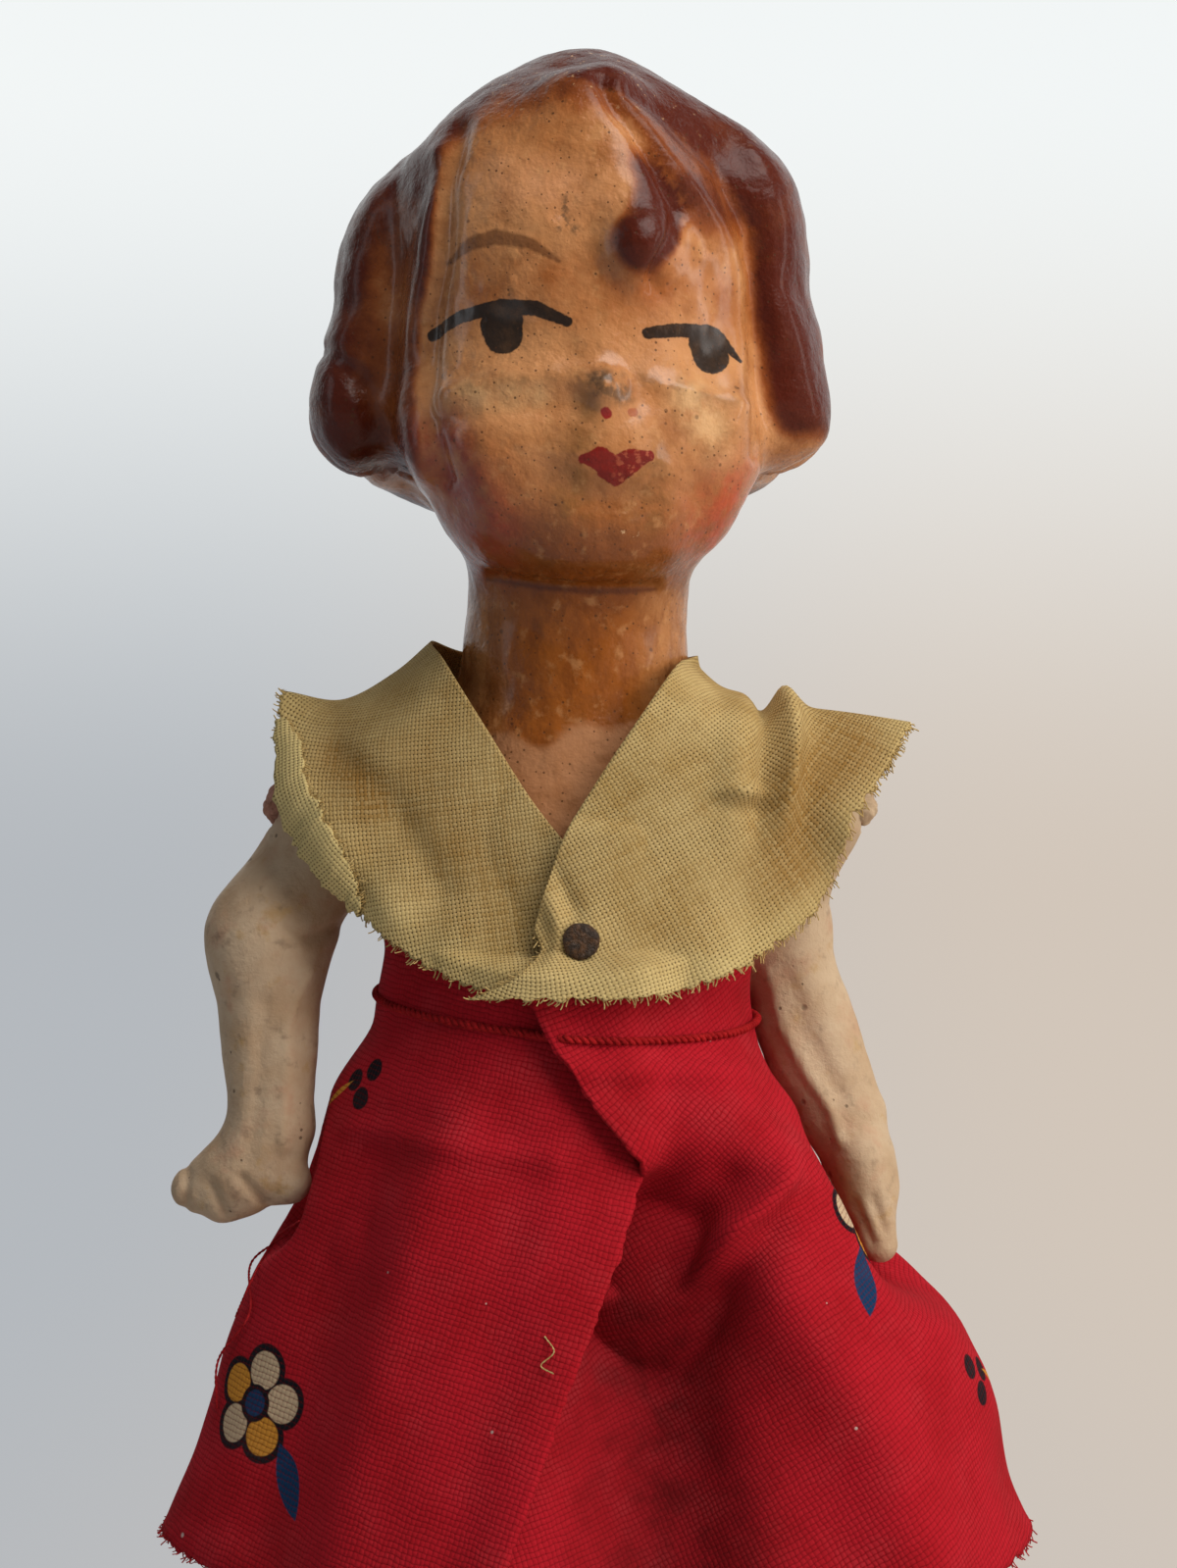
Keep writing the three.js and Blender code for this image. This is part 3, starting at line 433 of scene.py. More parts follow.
def face_relief(p):
    x, y, z = p.T
    bags = 0.75 * near_line(p, [(-15, 252.5), (-8, 254.2), (1, 254.4)], 1.4)
    bags += 0.65 * near_line(p, [(11, 253.4), (17, 252.6), (21, 251.6)], 1.2)
    bags -= 0.5 * near_line(p, [(-15, 249.6), (-6, 250.4), (2, 250.8)], 1.3)
    sockets = -0.45 * bump(np.hypot((x + 8) / 2, z - 258.5), 0, 3.2)
    sockets -= 0.4 * bump(np.hypot((x - 16.5) / 1.4, z - 257.5), 0, 3)
    mouth = 0.6 * near_line(p, [(1.8, 244.4), (5.4, 243.2), (9.4, 244.6)], 1.9)
    mouth -= 0.35 * near_line(p, [(1.6, 243.9), (9.4, 243.9)], 0.5)
    mouth -= 0.4 * near_line(p, [(2.5, 239.6), (8.6, 239.8)], 1.6)
    chin = [(-10.3, 231.3), (-3.7, 230), (2.3, 229.4), (7.1, 229.6), (10.6, 230)]
    crease = -0.8 * near_line(p, chin, 0.75)
    dents = -0.4 * bump(np.hypot(x + 0.6, z - 273.9), 0, 0.9) - 0.4 * bump(np.hypot(x - 4.6, z - 235), 0, 0.8)
    cheek = -2.6 * ease(-9, -16, x) * bump(z, 239.5, 6.5) * ease(8, 0, y)
    cheek -= 2.2 * ease(11, 17, x) * bump(z, 240, 7) * ease(8, 0, y)
    return ease(-10, -16, y) * (bags + sockets + mouth + crease + dents) + cheek


slope = unit(slope_of(body_field, body_points))
flat_cut = (np.abs(slope[:, 0]) > 0.98) & (body_points[:, 2] < SHOULDER + 14)
relief = front_strands(body_points) + side_waves(body_points) + face_relief(body_points)
relief += ease(210, 216, body_points[:, 2]) * (
    0.2 * lumpy(body_points, 7, 12) + 0.09 * lumpy(body_points, 2.8, 13)
)
relief[flat_cut] = 0
body_points = body_points + relief[:, None] * slope
body = smooth_mesh("moulded_body", body_points, body_faces)
print("relief from", relief.min().round(2), "to", relief.max().round(2), "mm")

# %% Where the hair is sprayed, where the blush lies and where the varnish stops
p = body_points
x, y, z = p.T
at_back = ease(3, 12, y) * ease(238.5, 241.5, z)
ridges = np.maximum(near_line(p, OUTER_RIDGE, 3.4), 0.85 * near_line(p, INNER_RIDGE, 1.8))
edge_of_hair = np.interp(-z, [-row[1] for row in HAIRLINE], [row[0] for row in HAIRLINE])
left_lobe = ease(-0.4, -2.4, x - edge_of_hair) * ease(240, 247, z) * ease(292, 288, z) * ease(8, -2, y)
left_lobe = left_lobe * (0.8 + 0.2 * ridges) * (1 - 0.42 * bump(z, 264, 12) * bump(x, -22.5, 3.5))
crown = np.maximum(ease(-0.86, -0.40, slope[:, 1]) * ease(270, 282, z), 0.66 * ease(278, 291, z))
band_line = [(1, 297.5), (8, 294.6), (15, 290.5), (22, 284), (26.4, 276.4), (27.6, 265), (30.2, 253)]
band = ease(7.6, 2.6, line_distance(p, band_line) - 0.25 * np.maximum(0, z - 284)) * ease(246, 251, z)
groove_x = np.interp(-z, [-row[1] for row in GROOVE], [row[0] for row in GROOVE])
beside = 0.75 * ease(-1.2, 1.4, x - groove_x) * ease(268, 277, z) * ease(0, -6, y)
hook = line_distance(p, [(8.6, 283.5), (10.9, 279), (11.2, 275.5), (10.2, 272), (8.8, 269.8)])
curl = ease(1.7, -1.3, hook - np.interp(z, [268, 272, 277, 284], [3.2, 4.0, 3.2, 1.8]))
curl = curl * ease(1.4, -0.2, x - groove_x) * ease(-12, -15, y) * ease(286, 279, z)
hair_paint = np.clip(np.maximum.reduce([at_back, left_lobe, crown, band, beside, curl]), 0, 1)
point_value(body, "hair_paint", hair_paint)
blush_left = near_line(p, [(-15.6, 247), (-12.6, 240.5), (-9.5, 235.5)], 4.0) * ease(-6, -12, y)
blush_right = near_line(p, [(20.5, 242), (17.6, 236.5)], 3.8) * ease(-6, -12, y)
point_value(body, "blush_left", blush_left)
point_value(body, "blush_right", blush_right)
varnish_end = 212.0 + 1.2 * np.sin(x / 3.1) + 0.8 * np.sin(x / 1.3 + 1)
point_value(body, "varnish", ease(-0.6, 0.6, z - varnish_end))
settle(body, "torso", "varnished_composition", "body_front_shell", "body_back_shell")
print("painted share of the skin:", round(float(hair_paint.mean()), 3))

# %% [markdown]
# ## Arms
# Each arm is one casting, hung on a string through the shoulders. The doll's right arm bows out and
# ends in a fist; its left arm hangs straight with a flat hand. A raised line down each forearm is
# where the two halves of the mould met, and the string's knot sits in a pocket at the shoulder.

# %% Arm forms
ARM_GAP = 0.4
POCKET = 4.2
RIGHT_HAND = [
    ([11.4, -3, -42], [15, -3, -47.5], 5, 5.2),
    ([14, -3, -46], [21, -3, -49.5], 4, 3),
    ([13, -4, -47], [17.4, -4, -51], 3.6, 2.8),
    ([12, -4, -45], [9, -4, -48.5], 4.2, 2.8),
]
LEFT_HAND = [
    ([9.2, 3.5, -42], [11.4, 2, -50], 5, 4.2),
    ([10.8, -0.5, -46], [12.8, -1, -57], 3.6, 2.3),
    ([10.8, 4, -46], [12.6, 3, -55.5], 3.6, 2.4),
]


def arm_parts(side, thick, elbow, wrist, hand, soft):
    def at(v):
        return [side * (SHOULDER_FACE + ARM_GAP + v[0]), v[1], SHOULDER + v[2]]

    made = [
        limb(at([0, 0, 0]), at([2.4, 0, 0]), 7.6, 7.6),
        limb(at([3, 0, -3]), at(elbow), 7.0, thick, 5),
        limb(at(elbow), at(wrist), thick, 5.3, 4),
    ]
    return made + [limb(at(a), at(b), first, last, soft) for a, b, first, last in hand]


def pocketed(form, side, z, face, depth):
    """A limb's form, cut flat at its joint face, with a round pocket at the outer end of its string."""
    reach = np.arange(20, 600) / 10
    row = np.stack([side * reach, np.zeros_like(reach), np.full_like(reach, z)], 1)
    bottom = reach[form(row) < 0].max() - depth

    def field(points):
        off = np.hypot(points[:, 1], points[:, 2] - z) - POCKET
        pocket = np.maximum(off, bottom - side * points[:, 0])
        return np.maximum(np.maximum(form(points), face - side * points[:, 0]), -pocket)

    return field, bottom


# Side, thickness at the elbow, elbow, wrist and hand; the cloth lies on a softer form than is seen
RIGHT_ARM = (-1, 7.4, [12, -1, -17.5], [11.4, -3, -41], RIGHT_HAND)
LEFT_ARM = (1, 5.6, [4.4, 6.5, -17], [8.9, 4, -40], LEFT_HAND)
SOFT_FINGERS, CRISP_FINGERS, ARM_POCKET_DEPTH = 4, 2.2, 3.2


def strung_arm(arm):
    crisp = field_of(arm_parts(*arm, CRISP_FINGERS))
    return pocketed(crisp, arm[0], SHOULDER, SHOULDER_FACE + ARM_GAP, ARM_POCKET_DEPTH)


right_arm_form = field_of(arm_parts(*RIGHT_ARM, SOFT_FINGERS))
left_arm_form = field_of(arm_parts(*LEFT_ARM, SOFT_FINGERS))
right_arm_field, right_knot_seat = strung_arm(RIGHT_ARM)
left_arm_field, left_knot_seat = strung_arm(LEFT_ARM)
print("knots sit at", right_knot_seat, left_knot_seat, "mm from the midline")


# %% Arm relief: mould line, lumps and the grooves between the fingers
def arm_relief(p, side):
    made = 0.32 * lumpy(p, 9, 3) + 0.08 * lumpy(p, 3.5, 4)
    front = ease(3, -1, p[:, 1])
    if side < 0:
        ridge = near_line(p, [(-33.2, 182), (-35.6, 176), (-36.2, 160)], 0.9)
        dent = near_line(p, [(-38.5, 178), (-39.4, 166), (-40.5, 158)], 1.2)
        made += front * (0.55 * ridge - 0.4 * dent)
        made -= front * 0.55 * near_line(p, [(-28.5, 188), (-33, 186.2), (-36, 187.5)], 0.9)
        for a, b in (
            ((-45.5, 155.2), (-43.8, 151)), ((-48.8, 156.2), (-49.2, 151.8)), ((-41.5, 156), (-38.8, 152.6))
        ):
            made -= front * 0.6 * near_line(p, [a, b], 0.7)
        return made
    ridge = near_line(p, [(29.2, 181), (31.2, 174), (34.4, 165), (35, 160)], 0.8)
    dent = near_line(p, [(31.4, 182), (33.6, 174), (36, 166)], 1.0)
    made += front * (0.6 * ridge - 0.35 * dent)
    for a, b in (((36.2, 152), (38.6, 147)), ((38.6, 153), (40.2, 148.5))):
        made -= front * 0.45 * near_line(p, [a, b], 0.6)
    return made


def drawn_in(points):
    """The left arm leans in above the wrist and is broader there, so that it lies against the skirt."""
    x, z = points[:, 0], points[:, 2]
    lean = np.interp(
        z, [157, 163, 168, 173, 179, 184, 190, 196, 200], [0, 0.4, 0.7, 1.5, 2.4, 3.6, 3.6, 1.4, 0]
    )
    outer = np.interp(z, [150, 165, 170, 174, 184], [42.7, 41.5, 39.9, 39.2, 37.5])
    broader = np.interp(z, [157, 163, 168, 174, 180, 186], [0, 0.8, 2.8, 2.8, 1.4, 0])
    shift = lean + broader * np.clip((outer - x) / 11, 0, 1.1)
    return points - shift[:, None] * [1, 0, 0]


def arm_piece(name, field, low, high, side):
    points, faces = surface_net(field, low, high, 0.5)
    slope = unit(slope_of(field, points))
    relief = arm_relief(points, side)
    relief[side * points[:, 0] < SHOULDER_FACE + ARM_GAP + 0.6] = 0
    relief *= ease(POCKET, POCKET + 1.5, np.hypot(points[:, 1], points[:, 2] - SHOULDER))
    points = points + relief[:, None] * slope
    obj = smooth_mesh("moulded_" + name, drawn_in(points) if side > 0 else points, faces)
    settle(obj, name, "chalky_composition", name)
    print(obj.name, len(obj.data.polygons) * 2, "triangles")
    return obj


right_arm = arm_piece("right_arm", right_arm_field, [-54, -12, 145], [-24, 12, 214], -1)
left_arm = arm_piece("left_arm", left_arm_field, [24, -12, 141], [46, 16, 214], 1)

# %% [markdown]
# ## Legs
# The photograph stops at the hem, so the legs are a guess from dolls of this make: plump straight legs
# cast like the arms, with a rolled sock and a low bar shoe that are painted on.


# %% Leg forms
LEG_AT, KNEE, ANKLE, LEG_POCKET_DEPTH = 18, 92, 27, 4.5


def leg_parts(side):
    def at(x, y, z):
        return [side * (LEG_AT + x), y, z]

    calf = ANKLE + (KNEE - ANKLE) * 0.62
    return [
        limb(at(-7, 0, HIP), at(-2, 0, HIP), 14, 14),
        limb(at(0, 0, HIP - 4), at(0, 0, KNEE), 11.2, 8.8, 6),
        limb(at(0, 0, KNEE), at(0, 1, ANKLE), 8.8, 6.8, 5),
        lump(at(0, 2, calf), [9.4, 10, 20], 5),
        lump(at(0, 1, 31), [9, 9, 3.6], 1.6),
        limb(at(0, 1, ANKLE), at(0, 2, 10), 6.8, 7.8, 4),
        limb(at(0, 8.5, 6), at(0, -19, 5), 8.5, 9.6, 5),
        lump(at(0, -17, 5.5), [10.2, 12, 8.6], 4),
    ]


def leg_piece(name, side):
    form, seat = pocketed(field_of(leg_parts(side)), side, HIP, HIP_FACE + ARM_GAP, LEG_POCKET_DEPTH)

    def field(points):
        return np.maximum(form(points), -points[:, 2])

    low, high = [-36, -34, -3], [-6, 22, 163]
    if side > 0:
        low[0], high[0] = 6, 36
    points, faces = surface_net(field, low, high, 0.9)
    slope = unit(slope_of(field, points))
    px, py, pz = (points - [side * LEG_AT, 0, 0]).T
    top_line = 10.5 + 3.2 * ease(-22, 6, py) + 2.6 * ease(-6, 10, py)
    lip = 0.55 * ease(0.5, -0.5, pz - top_line)
    strap = 0.7 * bump(py + 9.5, 0, 2.0) * ease(9, 11, pz) * ease(26, 22, pz) * (np.abs(slope[:, 1]) < 0.97)
    sole = -0.5 * bump(pz - 2.6, 0, 0.5)
    rib = 0.14 * np.cos(np.arctan2(px, -(py - 1)) * 26) * ease(26.5, 28, pz) * ease(37, 35, pz)
    knee = -0.5 * bump(np.hypot(px, pz - KNEE), 6.5, 1.4) * ease(0, -5, py)
    relief = lip + strap + sole + rib + knee + 0.22 * lumpy(points, 12, 8)
    joint = ease(HIP_FACE + ARM_GAP + 0.4, HIP_FACE + ARM_GAP + 2, side * points[:, 0])
    relief *= joint * ease(POCKET, POCKET + 1.5, np.hypot(points[:, 1], pz - HIP)) * ease(0, 0.7, pz)
    obj = smooth_mesh("moulded_" + name, points + relief[:, None] * slope, faces)
    on_strap = bump(py + 9.5, 0, 2.4) * ease(8, 10, pz) * ease(24, 20, pz) * ease(2, -3, py)
    point_value(obj, "shoe", np.maximum(ease(0.35, -0.35, pz - top_line), ease(0.35, 0.6, on_strap)))
    point_value(obj, "sock", ease(36.2, 35.2, pz))
    settle(obj, name, "chalky_composition", name)
    print(obj.name, len(obj.data.polygons) * 2, "triangles")
    return obj, seat


right_leg, right_hip_seat = leg_piece("right_leg", -1)
left_leg, left_hip_seat = leg_piece("left_leg", 1)


# %% Knots at the ends of the strings
KNOT_RADIUS, KNOT_OUT = 2.5, 2.4


def knot_piece(name, x, z, side, body_name):
    r = KNOT_RADIUS
    turns = [
        lump([x, 0, z + 0.2 * r], [0.8 * r, r, 0.82 * r]),
        lump([x + 0.2 * r * side, -0.28 * r, z - 0.36 * r], [0.8 * r, 0.8 * r, 0.75 * r], 0.5),
        limb([x + 0.16 * r * side, 0, z - 0.4 * r], [x + 0.36 * r * side, 0.24 * r, z - r], 0.9, 0.8, 0.3),
    ]
    field = field_of(turns)
    points, faces = surface_net(field, [x - 4, -4, z - 5], [x + 4, 4, z + 5], 0.28)
    slope = unit(slope_of(field, points))
    strands = 0.1 * np.sin((points[:, 1] * 0.8 + points[:, 2]) * 5.5)
    obj = smooth_mesh("string_" + name, points + strands[:, None] * slope, faces)
    settle(obj, body_name, "string", name)
    return obj


knots = []
for limb_name, side, seat, height in (
    ("right_arm", -1, right_knot_seat, SHOULDER),
    ("left_arm", 1, left_knot_seat, SHOULDER),
    ("right_leg", -1, right_hip_seat, HIP),
    ("left_leg", 1, left_hip_seat, HIP),
):
    knots.append(knot_piece(limb_name + "_knot", side * (seat + KNOT_OUT), height, side, limb_name))
print("knots:", [k.name for k in knots])

# %% [markdown]
# ## Cloth
# The collar and skirt are stiff old cotton, cut raw. Each sheet is a fine net of points laid over the
# body by the same rules as its solid, then flattened by unwrapping, so that the weave and the print
# run straight along the cloth as they do on the bolt, and only then given its thickness.


# %% Smooth nets and laying cloth on a form
def catmull(points, count):
    """Points on a smooth curve through rows of points, along the first axis."""
    n = len(points)
    p = np.concatenate([[2 * points[0] - points[1]], points, [2 * points[-1] - points[-2]]])
    out = []
    for t in np.linspace(0, n - 1, count):
        i = min(int(t), n - 2)
        w = t - i
        q = p[i : i + 4]
        gap = [np.maximum((((q[k + 1] - q[k]) ** 2).sum(-1) ** 0.25), 1e-4)[..., None] for k in range(3)]
        first = (q[1] - q[0]) / gap[0] - (q[2] - q[0]) / (gap[0] + gap[1]) + (q[2] - q[1]) / gap[1]
        last = (q[2] - q[1]) / gap[1] - (q[3] - q[1]) / (gap[1] + gap[2]) + (q[3] - q[2]) / gap[2]
        a, b = first * gap[1], last * gap[1]
        c2 = -3 * q[1] + 3 * q[2] - 2 * a - b
        c3 = 2 * q[1] - 2 * q[2] + a + b
        out.append(q[1] + w * (a + w * (c2 + w * c3)))
    return np.array(out)


def smooth_net(rows, m, n):
    rows = np.array(rows, float)
    across = catmull(rows.transpose(1, 0, 2), n).transpose(1, 0, 2)
    return catmull(across, m)


def push_off(points, field, clear):
    q = points.copy()
    for _ in range(6):
        d = clear(q) - field(q)
        move = np.where(d > 0.01, np.minimum(d, 3), 0)
        s = slope_of(field, q)
        q += move[:, None] * s / np.maximum(np.linalg.norm(s, axis=1, keepdims=True), 1e-6)
    return q


def net_normals(net):
    return unit(np.cross(np.gradient(net, axis=0), np.gradient(net, axis=1)))


print("net helper:", smooth_net([[[0, 0, 0], [1, 0, 0]], [[0, 1, 0], [1, 1, 0]]], 3, 3).shape)


# %% A sheet: net, flat pattern, thickness
def flat_pattern(obj, grain_from, grain_to, degrees):
    """Unwraps a one-layer sheet at its true size, turned to give the line between two points this slope."""
    bpy.context.view_layer.objects.active = obj
    obj.select_set(True)
    bpy.ops.object.mode_set(mode="EDIT")
    bpy.ops.mesh.select_all(action="SELECT")
    bpy.ops.uv.unwrap(method="MINIMUM_STRETCH", margin=0.0)
    bpy.ops.object.mode_set(mode="OBJECT")
    obj.select_set(False)
    mesh = obj.data
    loops = np.array([l.vertex_index for l in mesh.loops])
    uv = np.empty(len(loops) * 2)
    mesh.uv_layers.active.data.foreach_get("uv", uv)
    uv = uv.reshape(-1, 2)
    co = np.array([v.co for v in mesh.vertices])
    at = np.empty((len(co), 2))
    at[loops] = uv
    edges = np.array([e.vertices for e in mesh.edges])
    real = np.linalg.norm(co[edges[:, 0]] - co[edges[:, 1]], axis=1)
    flat = np.linalg.norm(at[edges[:, 0]] - at[edges[:, 1]], axis=1)
    at *= 10 * real.sum() / flat.sum()
    way = at[grain_to] - at[grain_from]
    turn = math.radians(degrees) - math.atan2(way[1], way[0])
    spin = np.array([[math.cos(turn), -math.sin(turn)], [math.sin(turn), math.cos(turn)]])
    at = (at - at[grain_from]) @ spin.T
    mesh.uv_layers.active.name = "cloth"
    mesh.uv_layers.active.data.foreach_set("uv", at[loops].astype(np.float32).ravel())
    size = np.ptp(at, axis=0) / 10
    print(obj.name, "flat", (size * 1000).round(1), "mm")
    return size


def sheet_piece(name, net, thick, grain, degrees):
    m, n, _ = net.shape
    index = np.arange(m * n).reshape(m, n)
    faces = np.stack([index[:-1, :-1], index[1:, :-1], index[1:, 1:], index[:-1, 1:]], -1).reshape(-1, 4)
    obj = smooth_mesh(name, net.reshape(-1, 3), faces)
    size = flat_pattern(obj, index[grain[0]], index[grain[1]], degrees)
    area = sum(f.area for f in obj.data.polygons)
    solid = obj.modifiers.new("thickness", "SOLIDIFY")
    solid.thickness = thick / 1000
    solid.offset = 0
    solid.use_even_offset = True
    made = bpy.data.meshes.new_from_object(obj.evaluated_get(bpy.context.evaluated_depsgraph_get()))
    obj.modifiers.clear()
    obj.data = made
    made.polygons.foreach_set("use_smooth", [True] * len(made.polygons))
    return obj, size, area


# %% [markdown]
# ### Collar halves
# Two raw pieces of muslin cross at the chest. The doll's right half lies under, the left half laps over
# it and ends in a small tongue by the tack. The outer edges stand off the shoulders in stiff wings.

# %% Collar nets
SKIRT_TOP_SIDE, SKIRT_TOP_FRONT, TOP_WIDE = 187.0, 181.5, 23.4


def skirt_top(across):
    return SKIRT_TOP_FRONT + (SKIRT_TOP_SIDE - SKIRT_TOP_FRONT) * np.clip(np.abs(across) / TOP_WIDE, 0, 1) ** 2


def over_skirt(q):
    top = skirt_top(q[:, 0])
    return 3.4 * (1 - ease(0.5, 4, q[:, 2] - top))


def lapped(q):
    return 1.9 * ease(16, 8, q[:, 0]) * ease(SHOULDER + 1, SHOULDER - 4, q[:, 2])


collar_right_rows = [
    [[2.5, -17.6, -9], [0.5, -18.5, -14], [-3, -20, -19], [-8, -21, -23.5]],
    [[-4.7, -16.5, 0.3], [-9, -17, -6.5], [-13.5, -18, -13.5], [-18, -18.5, -20]],
    [[-10.4, -15.5, 9.2], [-16, -15.5, 2], [-21.5, -15, -5.5], [-27, -13.5, -12.5]],
    [[-15.6, -11, 17.4], [-21, -12.5, 10], [-28, -12.5, 4], [-34.5, -11.5, -2.5]],
    [[-17.8, 0, 20.5], [-22.5, 0, 16.5], [-29.5, -1, 12.8], [-37, -2, 13.6]],
    [[-13.5, 11, 19.5], [-20, 14, 11.5], [-27, 14.5, 3.5], [-33, 13, -3.5]],
    [[-0.5, 15.5, 18.5], [-0.5, 18, 9.5], [-0.5, 19, -0.5], [-0.5, 19, -9.5]],
]
collar_left_rows = [
    [[-4.3, -21, -15.5], [-3.5, -21.6, -18], [-6, -21.6, -21.5], [-11.5, -21.6, -24]],
    [[-0.9, -19.5, -4.8], [2.5, -20.5, -11.5], [6, -21, -17.5], [9.9, -21.3, -23.5]],
    [[3.5, -18.5, 2.8], [9, -19, -5], [14.5, -19, -13], [20, -19, -20.5]],
    [[8.6, -17, 10.4], [16, -17, 2.5], [23.5, -15.5, -5.5], [30.4, -13, -13.5]],
    [[12.4, -13, 15.9], [19.5, -14, 9.5], [27, -11.5, 3.5], [35.6, -13, -1.8]],
    [[14.6, -3, 18.5], [22.5, -2, 12], [32, -3, 11.5], [43, -5, 9.5]],
    [[12.5, 10, 18.5], [20, 14, 11.5], [27.5, 15, 3.5], [35, 13, -3.5]],
    [[0.5, 15.5, 18.5], [0.5, 18, 9.5], [0.5, 19, -0.5], [0.5, 19, -9.5]],
]


def right_side(points):
    return soften(moulding_field(points), right_arm_form(points), 5)


def left_side(points):
    return soften(moulding_field(points), left_arm_form(points), 5)


def collar_net(rows, m, n, side_field, clear):
    net = smooth_net(rows, m, n) + [0, 0, SHOULDER]
    return push_off(net.reshape(-1, 3), side_field, clear).reshape(m, n, 3)


right_net = collar_net(collar_right_rows, 150, 60, right_side, lambda q: 1.1 + over_skirt(q))
left_net = collar_net(collar_left_rows, 176, 60, left_side, lambda q: 1.1 + over_skirt(q) + lapped(q))
print("collar nets:", right_net.shape, left_net.shape)


# %% Wings, rolls and crumples in the collar
def shaped(net, height):
    return net + height[..., None] * net_normals(net)


def grid_of(net):
    m, n, _ = net.shape
    return np.meshgrid(np.linspace(0, 1, m), np.linspace(0, 1, n), indexing="ij")


def along_line(net, line, wide):
    return near_line(net.reshape(-1, 3), line, wide).reshape(net.shape[:2])


s, t = grid_of(right_net)
front = ease(4, -3, right_net[..., 1])
ripple = 0.35 * np.sin(s * 46 + 2 * t) * ease(0.55, 1, t) * ease(0.02, 0.1, s) * ease(0.98, 0.9, s)
valley = -0.7 * along_line(right_net, [(-29.3, 209.5), (-22.9, 204.4), (-16, 192.9)], 2.4)
margin = 0.9 * along_line(right_net, [(-33, 204), (-27.5, 197.5), (-20.5, 188.5)], 2.6)
right_net = shaped(right_net, ripple + front * (valley + margin))

s, t = grid_of(left_net)
x, y, z = left_net[..., 0], left_net[..., 1], left_net[..., 2]
front = ease(4, -3, y)
ripple = 0.4 * np.sin(s * 40 + 3 * t + 1) * ease(0.55, 1, t) * ease(0.1, 0.2, s) * ease(0.98, 0.9, s)
crease_x = 23.4 + 0.1 * (z - 205)
fold = -0.8 * bump(x, crease_x, 0.9) + 3.2 * bump(x, crease_x + 3.2, 1.9) + 1.3 * bump(x, crease_x - 3.0, 2.2)
pinch = (1.5 * bump(z, 204.6, 0.9) - 0.6 * bump(z, 202.6, 0.9)) * bump(x, 21.2, 3.0)
crumple = 1.3 * bump(s, 0.055, 0.022) * bump(t, 0.35, 0.3) - 0.6 * bump(s, 0.1, 0.02) * bump(t, 0.3, 0.3)
left_net = shaped(left_net, -(ripple + crumple + front * (ease(195, 207, z) * fold + pinch)))
TACK_AT, TACK_SEAT = (1.4, 186.7), -21.85
near_tack = bump(np.hypot(left_net[..., 0] - TACK_AT[0], left_net[..., 2] - TACK_AT[1]), 0, 3.0)
left_net[..., 1] += np.where(left_net[..., 1] < 0, near_tack * (TACK_SEAT - left_net[..., 1]), 0)
for net in (right_net, left_net):
    edge = unit(net[:, -1] - net[:, -3])
    ragged = rng.normal(0, 0.28, len(net))
    net[:, -1] += ragged[:, None] * edge
    net[:, -2] += 0.4 * ragged[:, None] * edge
print("collar heights", right_net[..., 2].min().round(1), "to", left_net[..., 2].max().round(1))

# %% Collar sheets
MUSLIN_THICK, COTTON_THICK = 0.5, 0.6
collar_right, right_cut, right_area = sheet_piece(
    "muslin_collar_right", right_net, MUSLIN_THICK, ((40, 59), (40, 0)), 47
)
collar_left, left_cut, left_area = sheet_piece(
    "muslin_collar_left", left_net, MUSLIN_THICK, ((53, 59), (53, 0)), 175
)
print("collar areas", round(right_area * 1e6), round(left_area * 1e6), "mm2")

# %% [markdown]
# The outer edge of the doll's right half is turned over to the front in a narrow crescent. It is a strip
# of its own here: it starts on the edge, goes round in a small arc and lies back on the collar.

# %% The turned-over crescent
first, last = 46, 92
edge = right_net[first:last, -1]
inward = unit(right_net[first:last, -9] - edge)
outward = net_normals(right_net)[first:last, -1]
taper = np.sin(np.pi * np.linspace(0.03, 0.97, last - first)) ** 0.8
rows = []
for r in np.linspace(0, 1, 16):
    arc = math.pi * min(r / 0.4, 1)
    round_by = 0.2 + 0.6 * taper
    aside = round_by * math.sin(arc)
    rise = round_by * (1 - math.cos(arc)) - 0.1
    reach = max(r - 0.4, 0) / 0.6
    lift = (0.5 * math.sin(math.pi * reach) + 0.4 * reach) * taper
    rows.append(edge + inward * (5.4 * taper * reach - aside)[:, None] + outward * (rise + lift)[:, None])
roll_net = np.stack(rows, 1)
collar_roll, _, _ = sheet_piece("muslin_collar_roll", roll_net, MUSLIN_THICK, ((24, 15), (24, 0)), 80)

# %% [markdown]
# ### Skirt
# Two panels of coarse red cotton are wrapped round and tied at the waist. The doll's left panel laps
# over at the top, folds back on itself in a fat diagonal ridge, and passes under the right panel's free
# edge lower down. Each hem is cut raw and dips at the front.

# %% Skirt panels by angle and height
HEM_SIDE, HEM_FRONT, LAYER, LAP_DROP, SEAM_TUCK = 110.5, 103.0, 1.8, 16.0, 1.1
WAIST_WIDE, WAIST_DEEP, HEM_RIGHT, HEM_LEFT, HEM_DEEP = 25.0, 21.2, 50.5, 59.0, 33.0
SEAM_RIGHT, SEAM_LEFT = -182.5, 179.3
EDGE_RIGHT = [(12, 4), (3, 3), (-3, 5), (-12, 7), (-17, 8.4), (-21, 6.9), (-35, 2.2), (-53, -4), (-72, -11)]
EDGE_LEFT = [
    (12, -5.5), (5, -4.8), (-2, -1.3), (-8, 2.4), (-13.4, 6.6), (-16.6, 8.8), (-18.4, 6.8), (-21, 4),
    (-25, 1.5), (-53, -10), (-72, -17)
]


def between(a, b, t):
    return a + (b - a) * t


def edge_at(stops, rise):
    stops = np.array(stops[::-1], float)
    return np.interp(rise, stops[:, 0], stops[:, 1])


